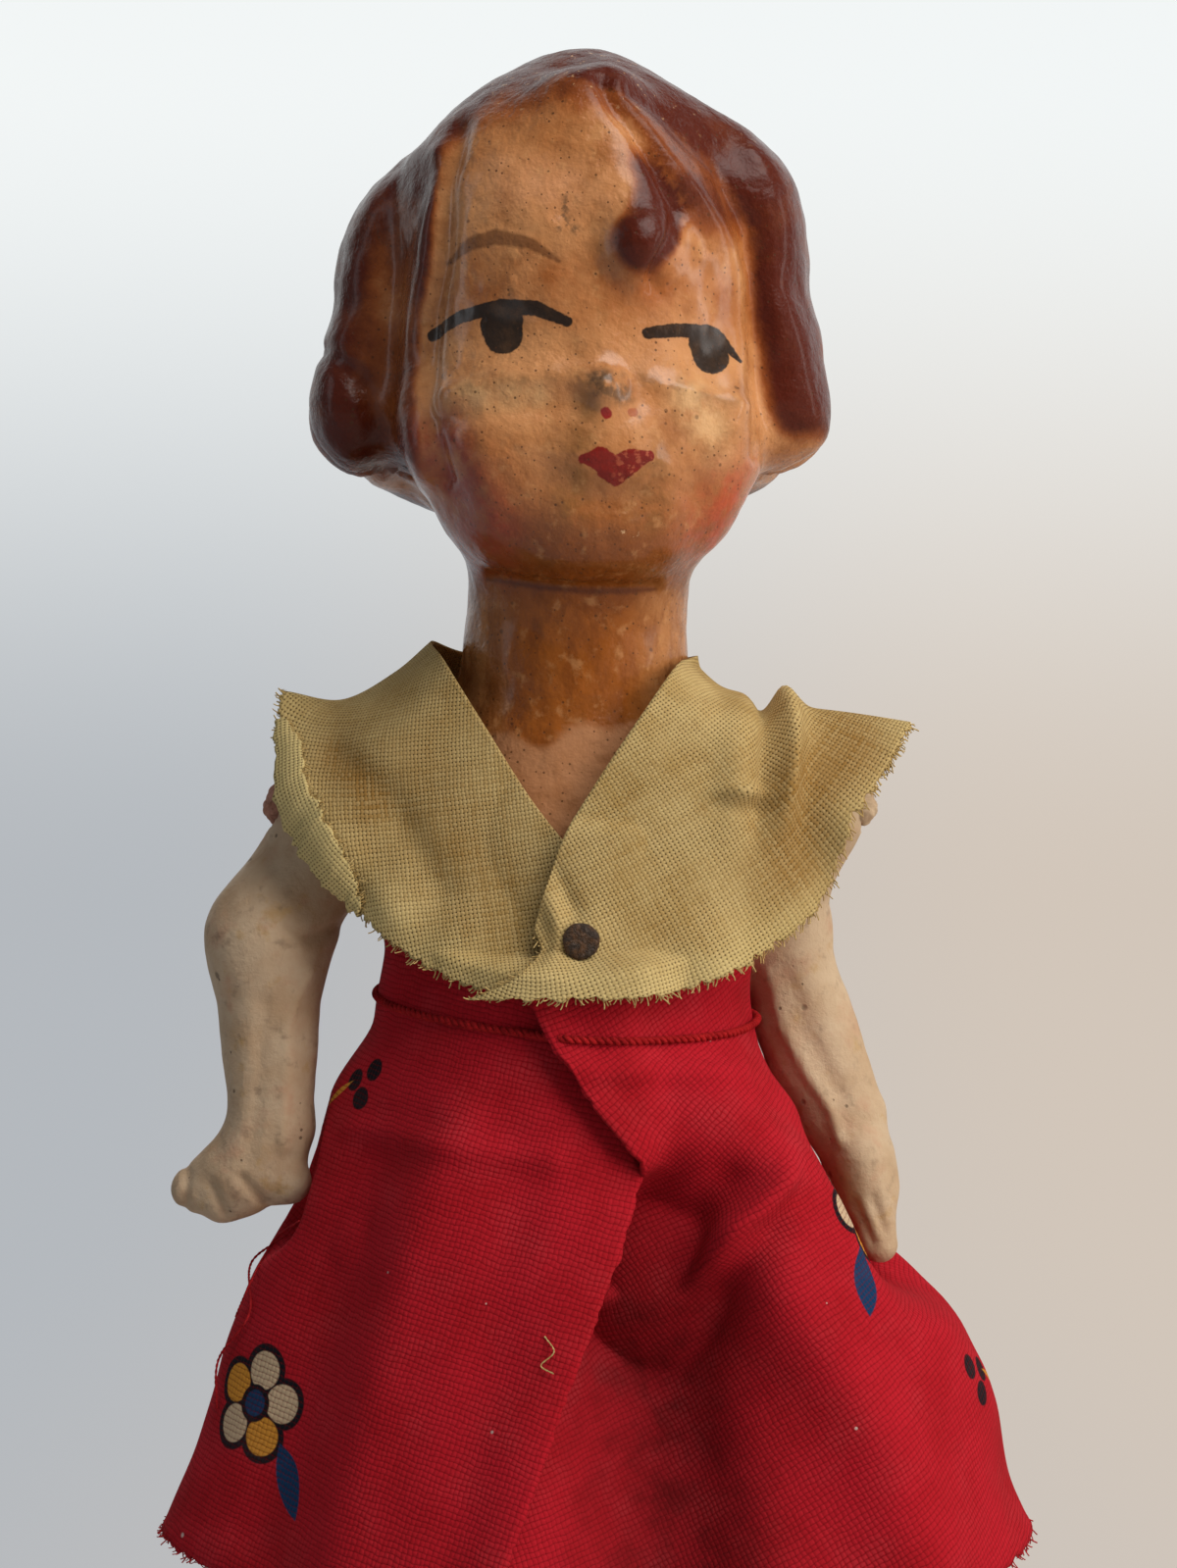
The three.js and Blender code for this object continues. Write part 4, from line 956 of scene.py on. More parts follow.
def skirt_fold(side, angle, z, flare):
    drop = WAIST - z
    made = ease(95, 125, np.abs(angle)) * 2.2 * flare * np.cos(np.radians(6 * angle))
    if side < 0:
        made += 1.8 * flare * np.cos(np.radians((angle + 12) * 5)) * (1 - ease(95, 125, -angle))
        made -= SEAM_TUCK * ease(-176.5, -179, angle)
        return made + 1.9 * bump(angle, -86, 26) * ease(0, 8, drop) * ease(54, 38, drop)
    ridge_at = between(38, 56, ease(3, 28, drop))
    made += 4.2 * bump(angle, ridge_at, 15) * ease(1, 15, drop) * between(1, 0.4, ease(25, 65, drop))
    valley_at = between(20, 10, ease(20, 60, drop))
    made -= 5.5 * bump(angle, valley_at, 13) * ease(13, 23, drop) * between(1, 0.25, ease(35, 67, drop))
    made += 4.4 * bump(angle, 106, 16) * ease(20, 34, drop) * ease(63, 49, drop)
    made += 4.4 * bump(angle, 78, 20) * ease(30, 38, drop) * ease(60, 42, drop)
    made += LAYER * ease(26, 14, angle) * between(1, -1, ease(LAP_DROP - 0.2, LAP_DROP + 2.4, drop))
    made -= 2.6 * bump(angle, 92, 30) * ease(11, 5, drop)
    room_at = between(96, 82, ease(7, 29, drop))
    return made - 7.6 * bump(angle, room_at, 18) * ease(1, 20, drop) * ease(38, 27, drop)


def skirt_points(side, angle, z):
    flare = np.clip((WAIST - z) / (WAIST - HEM_SIDE), 0, 1)
    waist = between(WAIST_WIDE, TOP_WIDE, ease(WAIST, SKIRT_TOP_SIDE, z))
    wide = between(waist, np.where(angle < 0, HEM_RIGHT, HEM_LEFT), flare)
    deep = between(WAIST_DEEP, HEM_DEEP, flare)
    out = skirt_fold(side, angle, z, flare)
    turn = np.radians(angle)
    made = np.stack([(wide + out) * np.sin(turn), -(deep + out) * np.cos(turn), z], -1)
    over = LAYER * ease(26, 14, angle) * ease(LAP_DROP, LAP_DROP - 3, WAIST - z) if side > 0 else 0 * z
    made = push_off(made, moulding_field, lambda q: 1.0 + over)
    hand = right_arm_form if side < 0 else left_arm_form
    for _ in range(30):
        near = np.minimum(hand(made), hand(made + [0, 0, 3.5])) < 1.5
        if not near.any():
            break
        reach = np.hypot(made[:, 0], made[:, 1])
        made[near, :2] *= (1 - 0.5 / reach[near])[:, None]
    return made


def skirt_net(side, stops, m, n):
    seam = SEAM_LEFT if side > 0 else SEAM_RIGHT
    row, column = np.meshgrid(np.linspace(0, 1, m), np.linspace(0, 1, n), indexing="ij")
    z = between(SKIRT_TOP_SIDE, HEM_SIDE, row)
    for _ in range(2):
        flare = np.clip((WAIST - z) / (WAIST - HEM_SIDE), 0, 1)
        wide = between(WAIST_WIDE, HEM_RIGHT if side < 0 else HEM_LEFT, flare)
        front = np.degrees(np.arcsin(edge_at(stops, z - WAIST) / wide))
        angle = between(seam, front, column)
        hem = between(HEM_SIDE, HEM_FRONT, np.cos(np.radians(angle)) ** 2)
        top = np.where(np.abs(angle) < 90, skirt_top(TOP_WIDE * np.sin(np.radians(angle))), SKIRT_TOP_SIDE)
        z = between(top, hem, row)
    return skirt_points(side, angle.ravel(), z.ravel()).reshape(m, n, 3)


skirt_right_net = skirt_net(-1, EDGE_RIGHT, 96, 150)
skirt_left_net = skirt_net(1, EDGE_LEFT, 96, 160)
print("skirt nets:", skirt_right_net.shape, skirt_left_net.shape)


# %% Small creases, and raw edges
def relax(net, passes):
    """Evens out the steps that laying the cloth round a hand leaves in it."""
    for _ in range(passes):
        even = net.copy()
        even[1:-1, 1:-1] = (net[:-2, 1:-1] + net[2:, 1:-1] + net[1:-1, :-2] + net[1:-1, 2:]) / 4
        net = 0.5 * net + 0.5 * even
    return net


LEFT_FOLDS = [
    (
        [
            (2.3, 145.4), (5.5, 143.6), (8.7, 143), (12, 143.6), (15, 145.6), (18.2, 149), (20.4, 152.4),
            (25.5, 158)
        ],
        2.8, 1.7
    ),
    ([(7, 150), (12, 149.5), (16, 152.5), (19.5, 157)], -2.0, 3.0),
    ([(6, 139.5), (11, 138.2), (16, 140.2), (20.5, 145.5), (24, 151)], -2.0, 2.6),
    ([(21.5, 151), (26.5, 143), (31.5, 136), (37, 126), (42, 112)], 3.6, 6.0),
    ([(7, 140), (8.5, 133), (10, 124), (11, 106)], -5.6, 11.5),
    ([(-0.9, 171.2), (10, 170.8), (20.6, 169.8)], 1.0, 1.3),
    ([(12.4, 159.5), (8, 153), (4, 147)], -1.0, 2.4),
]
RIGHT_FOLDS = [
    ([(-14, 164), (-19, 150), (-24, 128), (-28, 108)], 1.2, 4.0),
    ([(-6, 160), (-9, 140), (-14, 112)], -0.9, 4.5),
    ([(-24, 160), (-30, 140), (-38, 114)], -1.1, 3.6),
    ([(-28, 163), (-14, 161.5), (-2, 160.5)], 0.7, 1.6),
]
for side, net in ((-1, skirt_right_net), (1, skirt_left_net)):
    net[:] = relax(net, 6)
    s, t = grid_of(net)
    flat = net.reshape(-1, 3)
    crease = (0.35 * lumpy(flat, 16, 21) + 0.2 * lumpy(flat, 8, 22)).reshape(s.shape) * ease(0.12, 0.35, s)
    drawn = RIGHT_FOLDS if side < 0 else LEFT_FOLDS
    folds = sum(height * along_line(net, line, wide) for line, height, wide in drawn)
    out = np.sign((net_normals(net) * net * [1, 1, 0]).sum(-1).mean())
    lifted = ease(0.94, 1, t) * (ease(156, 157.5, net[..., 2]) if side > 0 else ease(157.5, 154, net[..., 2]))
    net[:] = shaped(net, out * (0.7 * crease + 0.8 * lifted + folds * ease(-6, -14, net[..., 1])))
    thigh = field_of(leg_parts(side))
    net[:] = push_off(net.reshape(-1, 3), thigh, lambda q: 1.8 + 3.0 * ease(0, -8, q[:, 1])).reshape(net.shape)
    ragged = rng.normal(0, 0.25, s.shape[1])
    net[-1, :, 2] += ragged
    net[-2, :, 2] += 0.4 * ragged
    ragged = rng.normal(0, 0.2, s.shape[0])
    net[:, -1, 0] += ragged
print("lowest point of the hem", min(skirt_right_net[..., 2].min(), skirt_left_net[..., 2].min()).round(2))

# %% Skirt sheets
skirt_right, skirt_right_cut, skirt_right_area = sheet_piece(
    "cotton_skirt_right", skirt_right_net, COTTON_THICK, ((95, 130), (10, 130)), 90
)
skirt_left, skirt_left_cut, skirt_left_area = sheet_piece(
    "cotton_skirt_left", skirt_left_net, COTTON_THICK, ((95, 95), (10, 95)), 102
)
print("skirt areas", round(skirt_right_area * 1e6), round(skirt_left_area * 1e6), "mm2")

# %% [markdown]
# ### Waist cord
# A red cord of two strands twisted together is tied round the skirt. It follows a path, so Geometry
# Nodes wind the strands round it: each strand is the path moved aside by a turning offset and given a
# round section.


# %% Wiring a node tree
class Wiring:
    """A node tree, to put nodes in and to link them."""

    def __init__(self, tree):
        self.tree = tree

    def put(self, kind, inputs=None, **settings):
        node = self.tree.nodes.new(kind)
        for key, value in settings.items():
            setattr(node, key, value)
        for key, value in (inputs or {}).items():
            if isinstance(value, bpy.types.NodeSocket):
                self.link(value, node.inputs[key])
            else:
                node.inputs[key].default_value = value
        return node

    def link(self, start, end):
        self.tree.links.new(start, end)

    def group(self, other, inputs):
        return self.put("ShaderNodeGroup", inputs, node_tree=other)


def wiring_of(*values):
    """The wiring of the tree that the sockets among these values belong to."""
    return Wiring(next(value.id_data for value in values if isinstance(value, bpy.types.NodeSocket)))


def maths(operation, a, b=0.0, clamp=False):
    made = wiring_of(a, b).put("ShaderNodeMath", {0: a, 1: b}, operation=operation, use_clamp=clamp)
    return made.outputs[0]


def times(a, b):
    return maths("MULTIPLY", a, b)


def plus(a, b):
    return maths("ADD", a, b)


def minus(a, b):
    return maths("SUBTRACT", a, b)


def over(a, b):
    return maths("DIVIDE", a, b)


def least(a, b):
    return maths("MINIMUM", a, b)


def most(first, *others):
    for other in others:
        first = maths("MAXIMUM", first, other)
    return first


def vector(operation, a, b=(0, 0, 0), scale=None):
    inputs = {0: a, 1: b} if scale is None else {0: a, 3: scale}
    made = wiring_of(a, b, scale).put("ShaderNodeVectorMath", inputs, operation=operation)
    return made.outputs[1 if operation in ("LENGTH", "DOT_PRODUCT", "DISTANCE") else 0]


def xyz(value):
    return wiring_of(value).put("ShaderNodeSeparateXYZ", {0: value}).outputs


def fade(value, low, high):
    """0 at low and 1 at high, eased; low may be the larger."""
    rises = float(low < high)
    inputs = {0: value, 1: min(low, high), 2: max(low, high), 3: 1 - rises, 4: rises}
    return wiring_of(value).put("ShaderNodeMapRange", inputs, interpolation_type="SMOOTHSTEP").outputs[0]


def mix(share, a, b, by=None):
    """Colour b over colour a, by a mask and, where it is given, a share of that mask."""
    share = share if by is None else times(share, by)
    a, b = [(*c, 1) if isinstance(c, tuple) and len(c) == 3 else c for c in (a, b)]
    return wiring_of(share).put("ShaderNodeMix", {0: share, 6: a, 7: b}, data_type="RGBA").outputs[2]


def group_tree(name, kind, ins, outs):
    """A node group with named sockets, each in given by its kind or its usual value.

    Gives back the tree, its wiring, what comes in and what goes out."""
    tree = bpy.data.node_groups.new(name, kind + "NodeTree")
    kinds = {float: "Float", int: "Int", tuple: "Vector"}
    for label, value in ins.items():
        socket = value if isinstance(value, str) else kinds[type(value)]
        made = tree.interface.new_socket(label, in_out="INPUT", socket_type="NodeSocket" + socket)
        if socket != value:
            made.default_value = value
    for label, socket in outs.items():
        tree.interface.new_socket(label, in_out="OUTPUT", socket_type="NodeSocket" + socket)
    ends = tree.nodes.new("NodeGroupInput").outputs, tree.nodes.new("NodeGroupOutput").inputs
    return tree, Wiring(tree), *ends


print("wiring ready")

# %% Two strands wound round a path
cord_group, wires, ins, outs = group_tree(
    "twisted_cord", "Geometry",
    {
        "Path": "Geometry", "Strand Radius": 0.00031, "Offset": 0.00025, "Turn Length": 0.0019, "Step": 0.00025,
        "Material": "Material"
    },
    {"Cord": "Geometry"},
)
curve = wires.put("GeometryNodeMeshToCurve", {0: ins["Path"]})
even = wires.put("GeometryNodeResampleCurve", {0: curve.outputs[0], "Length": ins["Step"]}, mode="LENGTH")
tangent = wires.put("GeometryNodeInputTangent").outputs[0]
upright = vector("CROSS_PRODUCT", tangent, (0, 0, 1))
upright = vector("NORMALIZE", upright)
across = vector("CROSS_PRODUCT", tangent, upright)
length = wires.put("GeometryNodeSplineParameter").outputs["Length"]
turns = over(length, ins["Turn Length"])
phase = times(turns, 2 * math.pi)
join = wires.put("GeometryNodeJoinGeometry")
section = wires.put("GeometryNodeCurvePrimitiveCircle", {"Resolution": 8, "Radius": ins["Strand Radius"]})
for strand in (0, 1):
    angle = plus(phase, strand * math.pi)
    a = vector("SCALE", upright, scale=maths("COSINE", angle))
    b = vector("SCALE", across, scale=maths("SINE", angle))
    aside = vector("SCALE", vector("ADD", a, b), scale=ins["Offset"])
    wound = wires.put("GeometryNodeSetPosition", {0: even.outputs[0], "Offset": aside})
    tube = wires.put("GeometryNodeCurveToMesh", {0: wound.outputs[0], 1: section.outputs[0], "Fill Caps": True})
    wires.link(tube.outputs[0], join.inputs[0])
real = wires.put("GeometryNodeRealizeInstances", {0: join.outputs[0]})
finish = wires.put("GeometryNodeSetMaterial", {0: real.outputs[0], "Material": ins["Material"]})
wires.link(finish.outputs[0], outs[0])
print("cord tree:", len(cord_group.nodes), "nodes")


# %% Turning a node tree's result into a plain mesh
def grow(name, guide, tree, values):
    modifier = guide.modifiers.new("nodes", "NODES")
    modifier.node_group = tree
    for item in tree.interface.items_tree:
        if item.item_type == "SOCKET" and item.in_out == "INPUT" and item.name in values:
            modifier[item.identifier] = values[item.name]
    made = bpy.data.meshes.new_from_object(guide.evaluated_get(bpy.context.evaluated_depsgraph_get()))
    guide.modifiers.clear()
    bpy.data.objects.remove(guide)
    obj = in_scene(name, made)
    made.polygons.foreach_set("use_smooth", [True] * len(made.polygons))
    print(name, len(made.polygons), "faces")
    return obj


def path_guide(name, points):
    mesh = bpy.data.meshes.new(name)
    rows = to_frame(points).tolist()
    mesh.from_pydata(rows, [(i, i + 1) for i in range(len(rows) - 1)], [])
    return in_scene(name, mesh)


finishes = {}
for name in (
    "varnish", "chalk", "painted_leg", "string", "muslin", "muslin_thread", "cotton", "cotton_left",
    "cotton_thread", "rust", "cord"
):
    finishes[name] = bpy.data.materials.new(name)
    finishes[name].use_nodes = True


def coat(name, *pieces):
    for piece in pieces:
        piece.data.materials.append(finishes[name])


print("finishes:", sorted(finishes))

# %% The cord round the waist
turn_angle = np.linspace(-174, 174, 260)
cord_z = WAIST + 2.4 * (1 - np.cos(np.radians(turn_angle))) - 1.6 * np.sin(np.radians(turn_angle))


def ring_at(net):
    """How far out a skirt panel lies at the cord's height, by angle round the waist."""
    rows = net[:40]
    height = np.full(net.shape[1], WAIST)
    for _ in range(3):
        found = np.array(
            [[np.interp(-h, -rows[:, j, 2], rows[:, j, k]) for k in (0, 1)] for j, h in enumerate(height)]
        )
        angle = np.degrees(np.arctan2(found[:, 0], -found[:, 1]))
        height = np.interp(angle, turn_angle, cord_z)
    order = np.argsort(angle)
    return np.interp(turn_angle, angle[order], np.hypot(*found.T)[order], left=0, right=0)


reach = np.maximum(ring_at(skirt_right_net), ring_at(skirt_left_net)) + 0.5 + 0.5 * bump(turn_angle, 88, 10)
reach = np.convolve(np.pad(reach, 4, mode="edge"), np.ones(9) / 9, mode="valid")
turn = np.radians(turn_angle)
cord_path = np.stack([reach * np.sin(turn), -reach * np.cos(turn), cord_z], 1)
waist_cord = grow(
    "twisted_waist_cord", path_guide("cord_path", cord_path), cord_group, {"Material": finishes["cord"]}
)
settle(waist_cord, "torso", "red_cord", "waist_cord")
cord_length = np.linalg.norm(np.diff(cord_path, axis=0), axis=1).sum()
print("cord round the waist:", cord_length.round(1), "mm")

# %% Its knot and two tails at the back
knot_at = (cord_path[0] + cord_path[-1]) / 2 + [0, 1.1, 0]
knot_paths = [
    [
        [-2.4, -0.6, 0.2], [-1.5, 0.8, 1.2], [0.6, 1.3, 1.3], [1.9, 0.7, 0.1], [1.0, 0.9, -1.2],
        [-0.8, 1.1, -1.1], [-1.4, 0.2, 0.3]
    ],
    [
        [2.4, -0.6, 0.1], [1.4, 0.5, 1.3], [-0.2, 0.9, 0.4], [-0.9, 1.4, -0.9], [0.2, 1.8, -1.6],
        [1.2, 0.9, -0.5], [0.4, -0.2, 0.7]
    ],
    [[0.2, 0.6, -0.4], [-1.0, 1.0, -2.8], [-2.2, 1.3, -6.2], [-3.2, 1.4, -9.4], [-3.0, 1.6, -12.0]],
    [[-0.2, 0.6, -0.4], [1.3, 1.0, -2.4], [2.6, 1.3, -5.2], [3.1, 1.2, -8.0], [3.9, 1.5, -10.2]],
]
parts = []
for i, path in enumerate(knot_paths):
    guide = path_guide("knot_path_%d" % i, catmull(np.array(path, float), 40) + knot_at)
    parts.append(grow("waist_knot_%d" % i, guide, cord_group, {"Material": finishes["cord"]}))
for part in parts[1:]:
    part.parent = parts[0]
settle(parts[0], "torso", "red_cord", "waist_knot")
print("knot at", knot_at.round(1))

# %% [markdown]
# ### Frayed edges
# Muslin and cotton cut raw shed threads. Short bent threads stand on the points of each edge, turned
# along the cloth and outwards, with their own lengths and leans from a fixed seed.

# %% A thread, and threads along an edge
fringe_group, wires, ins, outs = group_tree(
    "frayed_edge", "Geometry",
    {
        "Edge": "Geometry", "Shortest": 0.3, "Longest": 1.4, "Lean": 0.6, "Thread Radius": 0.00011, "Seed": 3,
        "Material": "Material"
    },
    {"Fringe": "Geometry"},
)
line = wires.put(
    "GeometryNodeCurvePrimitiveBezierSegment",
    {
        "Resolution": 5, "Start": (0, 0, -0.0006), "Start Handle": (0, 0, 0.0003),
        "End Handle": (0.0002, 0, 0.0007), "End": (0.0005, 0.0001, 0.0012)
    },
)
thread_round = wires.put("GeometryNodeCurvePrimitiveCircle", {"Resolution": 4, "Radius": ins["Thread Radius"]})
thread = wires.put(
    "GeometryNodeCurveToMesh", {0: line.outputs[0], 1: thread_round.outputs[0], "Fill Caps": True}
)
outward = wires.put("GeometryNodeInputNamedAttribute", {"Name": "outward"}, data_type="FLOAT_VECTOR")
facing = wires.put("FunctionNodeAlignRotationToVector", {"Vector": outward.outputs[0]}, axis="Z")
lean = ins["Lean"]
spread = vector("SCALE", (1, 1, 2.5), scale=lean)
negative = vector("SCALE", spread, scale=-1.0)
sway = wires.put(
    "FunctionNodeRandomValue", {0: negative, 1: spread, "Seed": ins["Seed"]}, data_type="FLOAT_VECTOR"
)
sway_turn = wires.put("FunctionNodeEulerToRotation", {0: sway.outputs[0]})
leaned = wires.put(
    "FunctionNodeRotateRotation", {0: facing.outputs[0], 1: sway_turn.outputs[0]}, rotation_space="LOCAL"
)
stretch = wires.put(
    "FunctionNodeRandomValue",
    {2: ins["Shortest"], 3: ins["Longest"], "Seed": ins["Seed"]},
    data_type="FLOAT",
)
tall = wires.put("ShaderNodeCombineXYZ", {0: 1.0, 1: 1.0, 2: stretch.outputs[1]})
points = wires.put("GeometryNodeMeshToPoints", {0: ins["Edge"]})
placed = wires.put(
    "GeometryNodeInstanceOnPoints",
    {
        0: points.outputs[0], "Instance": thread.outputs[0], "Rotation": leaned.outputs[0],
        "Scale": tall.outputs[0]
    },
)
real = wires.put("GeometryNodeRealizeInstances", {0: placed.outputs[0]})
finish = wires.put("GeometryNodeSetMaterial", {0: real.outputs[0], "Material": ins["Material"]})
wires.link(finish.outputs[0], outs[0])
print("fringe tree:", len(fringe_group.nodes), "nodes")


# %% Edges that fray
def edge_rows(net, which):
    rows = net.transpose(1, 0, 2) if which == "outer" else net
    if which == "first":
        return rows[0], rows[0] - rows[3]
    return rows[-1], rows[-1] - rows[-4]


def fringe(name, net, edges, pitch, material, values):
    spots, ways = [], []
    for which in edges:
        row, out = edge_rows(net, which)
        reach = np.concatenate([[0], np.cumsum(np.linalg.norm(np.diff(row, axis=0), axis=1))])
        at = np.arange(0.2, reach[-1], pitch)
        at = at + rng.uniform(-0.25, 0.25, len(at)) * pitch
        spots.append(np.stack([np.interp(at, reach, row[:, c]) for c in range(3)], 1))
        ways.append(np.stack([np.interp(at, reach, out[:, c]) for c in range(3)], 1))
    spots, ways = np.concatenate(spots), unit(np.concatenate(ways))
    mesh = bpy.data.meshes.new(name + "_guide")
    mesh.from_pydata(to_frame(spots).tolist(), [], [])
    layer = mesh.attributes.new("outward", "FLOAT_VECTOR", "POINT")
    layer.data.foreach_set("vector", ways.astype(np.float32).ravel())
    guide = in_scene(name + "_guide", mesh)
    return grow(name, guide, fringe_group, {"Material": material, **values})


FRAY_RADIUS, FRAY = 0.00009, {"muslin": (0.15, 0.9), "cotton": (0.1, 1.0)}
fringes = {}
for name, cloth, net, edges, pitch, seed in (
    ("collar_right", "muslin", right_net, ("outer", "first"), 0.4, 3),
    ("collar_left", "muslin", left_net, ("outer", "first"), 0.4, 4),
    ("collar_roll", "muslin", roll_net, ("outer",), 0.35, 8),
    ("skirt_right", "cotton", skirt_right_net, ("last",), 0.35, 5),
    ("skirt_left", "cotton", skirt_left_net, ("last",), 0.35, 6),
):
    values = {"Seed": seed, "Thread Radius": FRAY_RADIUS, "Shortest": FRAY[cloth][0], "Longest": FRAY[cloth][1]}
    fringes[name] = fringe("fray_" + name, net, edges, pitch, finishes[cloth + "_thread"], values)


# %% Loose threads and lint on the skirt
def on_skirt(x, z, off):
    spots = skirt_right_net.reshape(-1, 3)
    far = np.hypot(spots[:, 0] - x, spots[:, 2] - z) + 1000 * (spots[:, 1] > 0)
    spot = spots[far.argmin()]
    return spot + off * np.array([spot[0], spot[1], 0]) / np.hypot(spot[0], spot[1])


LOOSE = [
    (
        [(-38, 150, 0.5), (-40, 145, 1.3), (-39.5, 139, 0.9), (-43, 133, 1.6), (-44, 127, 0.6)],
        "cotton_thread", 0.00011
    ),
    ([(-36, 152, 0.5), (-38, 147, 1.0), (-39, 142, 1.8), (-41, 138, 1.4)], "cotton_thread", 0.00009),
    ([(-2.6, 140, 0.4), (-1.8, 138.4, 0.9), (-2.9, 137.2, 0.6), (-2.2, 136.4, 0.9)], "muslin_thread", 0.00006),
    ([(-0.6, 172.2, 0.8), (0.2, 172.8, 1.2), (0.6, 172.2, 0.9)], "muslin_thread", 0.00007),
]
loose = []
for i, (stops, finish_name, radius) in enumerate(LOOSE):
    guide = path_guide("loose_path_%d" % i, catmull(np.array([on_skirt(*stop) for stop in stops]), 40))
    values = {"Strand Radius": radius, "Offset": 0.6 * radius, "Turn Length": 0.0012, "Step": 0.0001}
    loose.append(grow("loose_thread_%d" % i, guide, cord_group, {"Material": finishes[finish_name], **values}))

# %% [markdown]
# ### Tack
# A rusted tack with a flat round head is nailed through both halves of the collar into the chest. Its
# rim is rounded and dented, so it is turned from a profile and then knocked about a little. It presses
# the cloth flat below its head.

# %% Tack
tack_box = [np.array(corner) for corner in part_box("collar_tack")]
tack_at = (tack_box[0] + tack_box[1]) / 2
tack_front = to_frame([[0, TACK_SEAT - 1.25, 0]])[0][1]
profile = [
    (0.0, -0.05), (0.9, 0.0), (1.6, 0.06), (2.0, 0.16), (2.2, 0.36), (2.25, 0.6), (2.15, 0.86), (1.9, 0.98),
    (0.62, 1.0), (0.6, 4.0), (0.58, 8.0), (0.25, 9.4), (0.0, 10.0)
]
rings = 40
tack_points, tack_faces = [], []
for k, (r, d) in enumerate(profile):
    for i in range(rings):
        a = 2 * math.pi * i / rings
        wobble = 1 + 0.02 * math.sin(3 * a + 1) + 0.012 * math.sin(7 * a)
        dent = 0.1 * math.exp(-(((r * math.cos(a) - 0.7) / 0.8) ** 2 + ((r * math.sin(a) + 0.5) / 0.7) ** 2))
        tack_points.append([r * wobble * math.cos(a), d + (dent if k < 5 else 0), r * wobble * math.sin(a)])
        if k:
            b = (i + 1) % rings
            tack_faces.append([(k - 1) * rings + i, k * rings + i, k * rings + b, (k - 1) * rings + b])
placed = np.array(tack_points) / 1000 + [tack_at[0], tack_front, tack_at[2]]
tack = smooth_mesh("rusted_tack", placed, tack_faces, in_frame=True)
work = bmesh.new()
work.from_mesh(tack.data)
bmesh.ops.remove_doubles(work, verts=work.verts, dist=1e-7)
bmesh.ops.recalc_face_normals(work, faces=work.faces)
work.to_mesh(tack.data)
work.free()
settle(tack, "torso", "rusted_iron", "collar_tack")
print("tack head at", (tack_at * 1000).round(1))

# %% [markdown]
# ## Finishes
# Several finishes share the same effects, so each effect is a node group with its own inputs: painted
# strokes, fine specks, soft stains and the weave of cloth. Places are given in millimetres about the
# doll's midline, which a first group makes from Object coordinates.


# %% The doll's place in millimetres
place_group, wires, _, outs = group_tree("doll_place", "Shader", {}, {"Place": "Vector"})
object_at = wires.put("ShaderNodeTexCoord").outputs["Object"]
in_mm = vector("SCALE", object_at, scale=1000.0)
wires.link(vector("SUBTRACT", in_mm, tuple(SHIFT)), outs[0])
print("place group:", len(place_group.nodes), "nodes")

# %% Painted strokes
stroke_group, wires, ins, outs = group_tree(
    "brush_stroke", "Shader",
    {
        "Place": "Vector", "From": (0, 0, 0), "To": (1, 0, 0), "From Radius": 1.0, "To Radius": 1.0,
        "Softness": 0.2
    },
    {"Mask": "Float"},
)
flat_place = vector("MULTIPLY", ins["Place"], (1, 0, 1))
along = vector("SUBTRACT", ins["To"], ins["From"])
off = vector("SUBTRACT", flat_place, ins["From"])
share = maths("DIVIDE", vector("DOT_PRODUCT", off, along), vector("DOT_PRODUCT", along, along), clamp=True)
aside = vector("SUBTRACT", off, vector("SCALE", along, scale=share))
wide = wires.put("ShaderNodeMix", {0: share, 2: ins["From Radius"], 3: ins["To Radius"]}).outputs[0]
ragged = {"Vector": ins["Place"], "Scale": 1.6, "Detail": 2, "Roughness": 0.5}
rough_edge = wires.put("ShaderNodeTexNoise", ragged).outputs[0]
rough_edge = times(minus(rough_edge, 0.5), 0.35)
gap = minus(vector("LENGTH", aside), wide)
gap = plus(gap, rough_edge)
edge = over(gap, ins["Softness"])
front = fade(xyz(ins["Place"])[1], -8, -12)
inked = times(fade(edge, 0.5, -0.5), front)
wires.link(inked, outs[0])
print("stroke group:", len(stroke_group.nodes), "nodes")

# %% Specks and stains
speck_group, wires, ins, outs = group_tree(
    "fine_specks", "Shader",
    {"Place": "Vector", "Spacing": 1.5, "Size": 0.16, "Share": 0.5},
    {"Mask": "Float"},
)
per = over(1.0, ins["Spacing"])
scaled = vector("SCALE", ins["Place"], scale=per)
cell = wires.put("ShaderNodeTexVoronoi", {"Vector": scaled, "Scale": 1.0})
pick = wires.put("ShaderNodeSeparateColor", {0: cell.outputs["Color"]})
radius = times(times(ins["Size"], per), pick.outputs[0])
inside = over(cell.outputs["Distance"], plus(radius, 0.001))
spot = fade(inside, 1.3, 0.7)
chosen = maths("LESS_THAN", pick.outputs[1], ins["Share"])
wires.link(times(spot, chosen), outs[0])

stain_group, wires, ins, outs = group_tree(
    "soft_stain", "Shader",
    {"Place": "Vector", "Size": 8.0, "Start": 0.45, "Full": 0.7, "Detail": 4.0},
    {"Mask": "Float"},
)
scaled = vector("SCALE", ins["Place"], scale=over(1.0, ins["Size"]))
cloud = wires.put(
    "ShaderNodeTexNoise", {"Vector": scaled, "Scale": 1.0, "Detail": ins["Detail"], "Roughness": 0.6}
).outputs[0]
span = minus(ins["Full"], ins["Start"])
level = over(minus(cloud, ins["Start"]), span)
wires.link(fade(level, 0.0, 1.0), outs[0])
print("speck and stain groups:", len(speck_group.nodes), len(stain_group.nodes), "nodes")


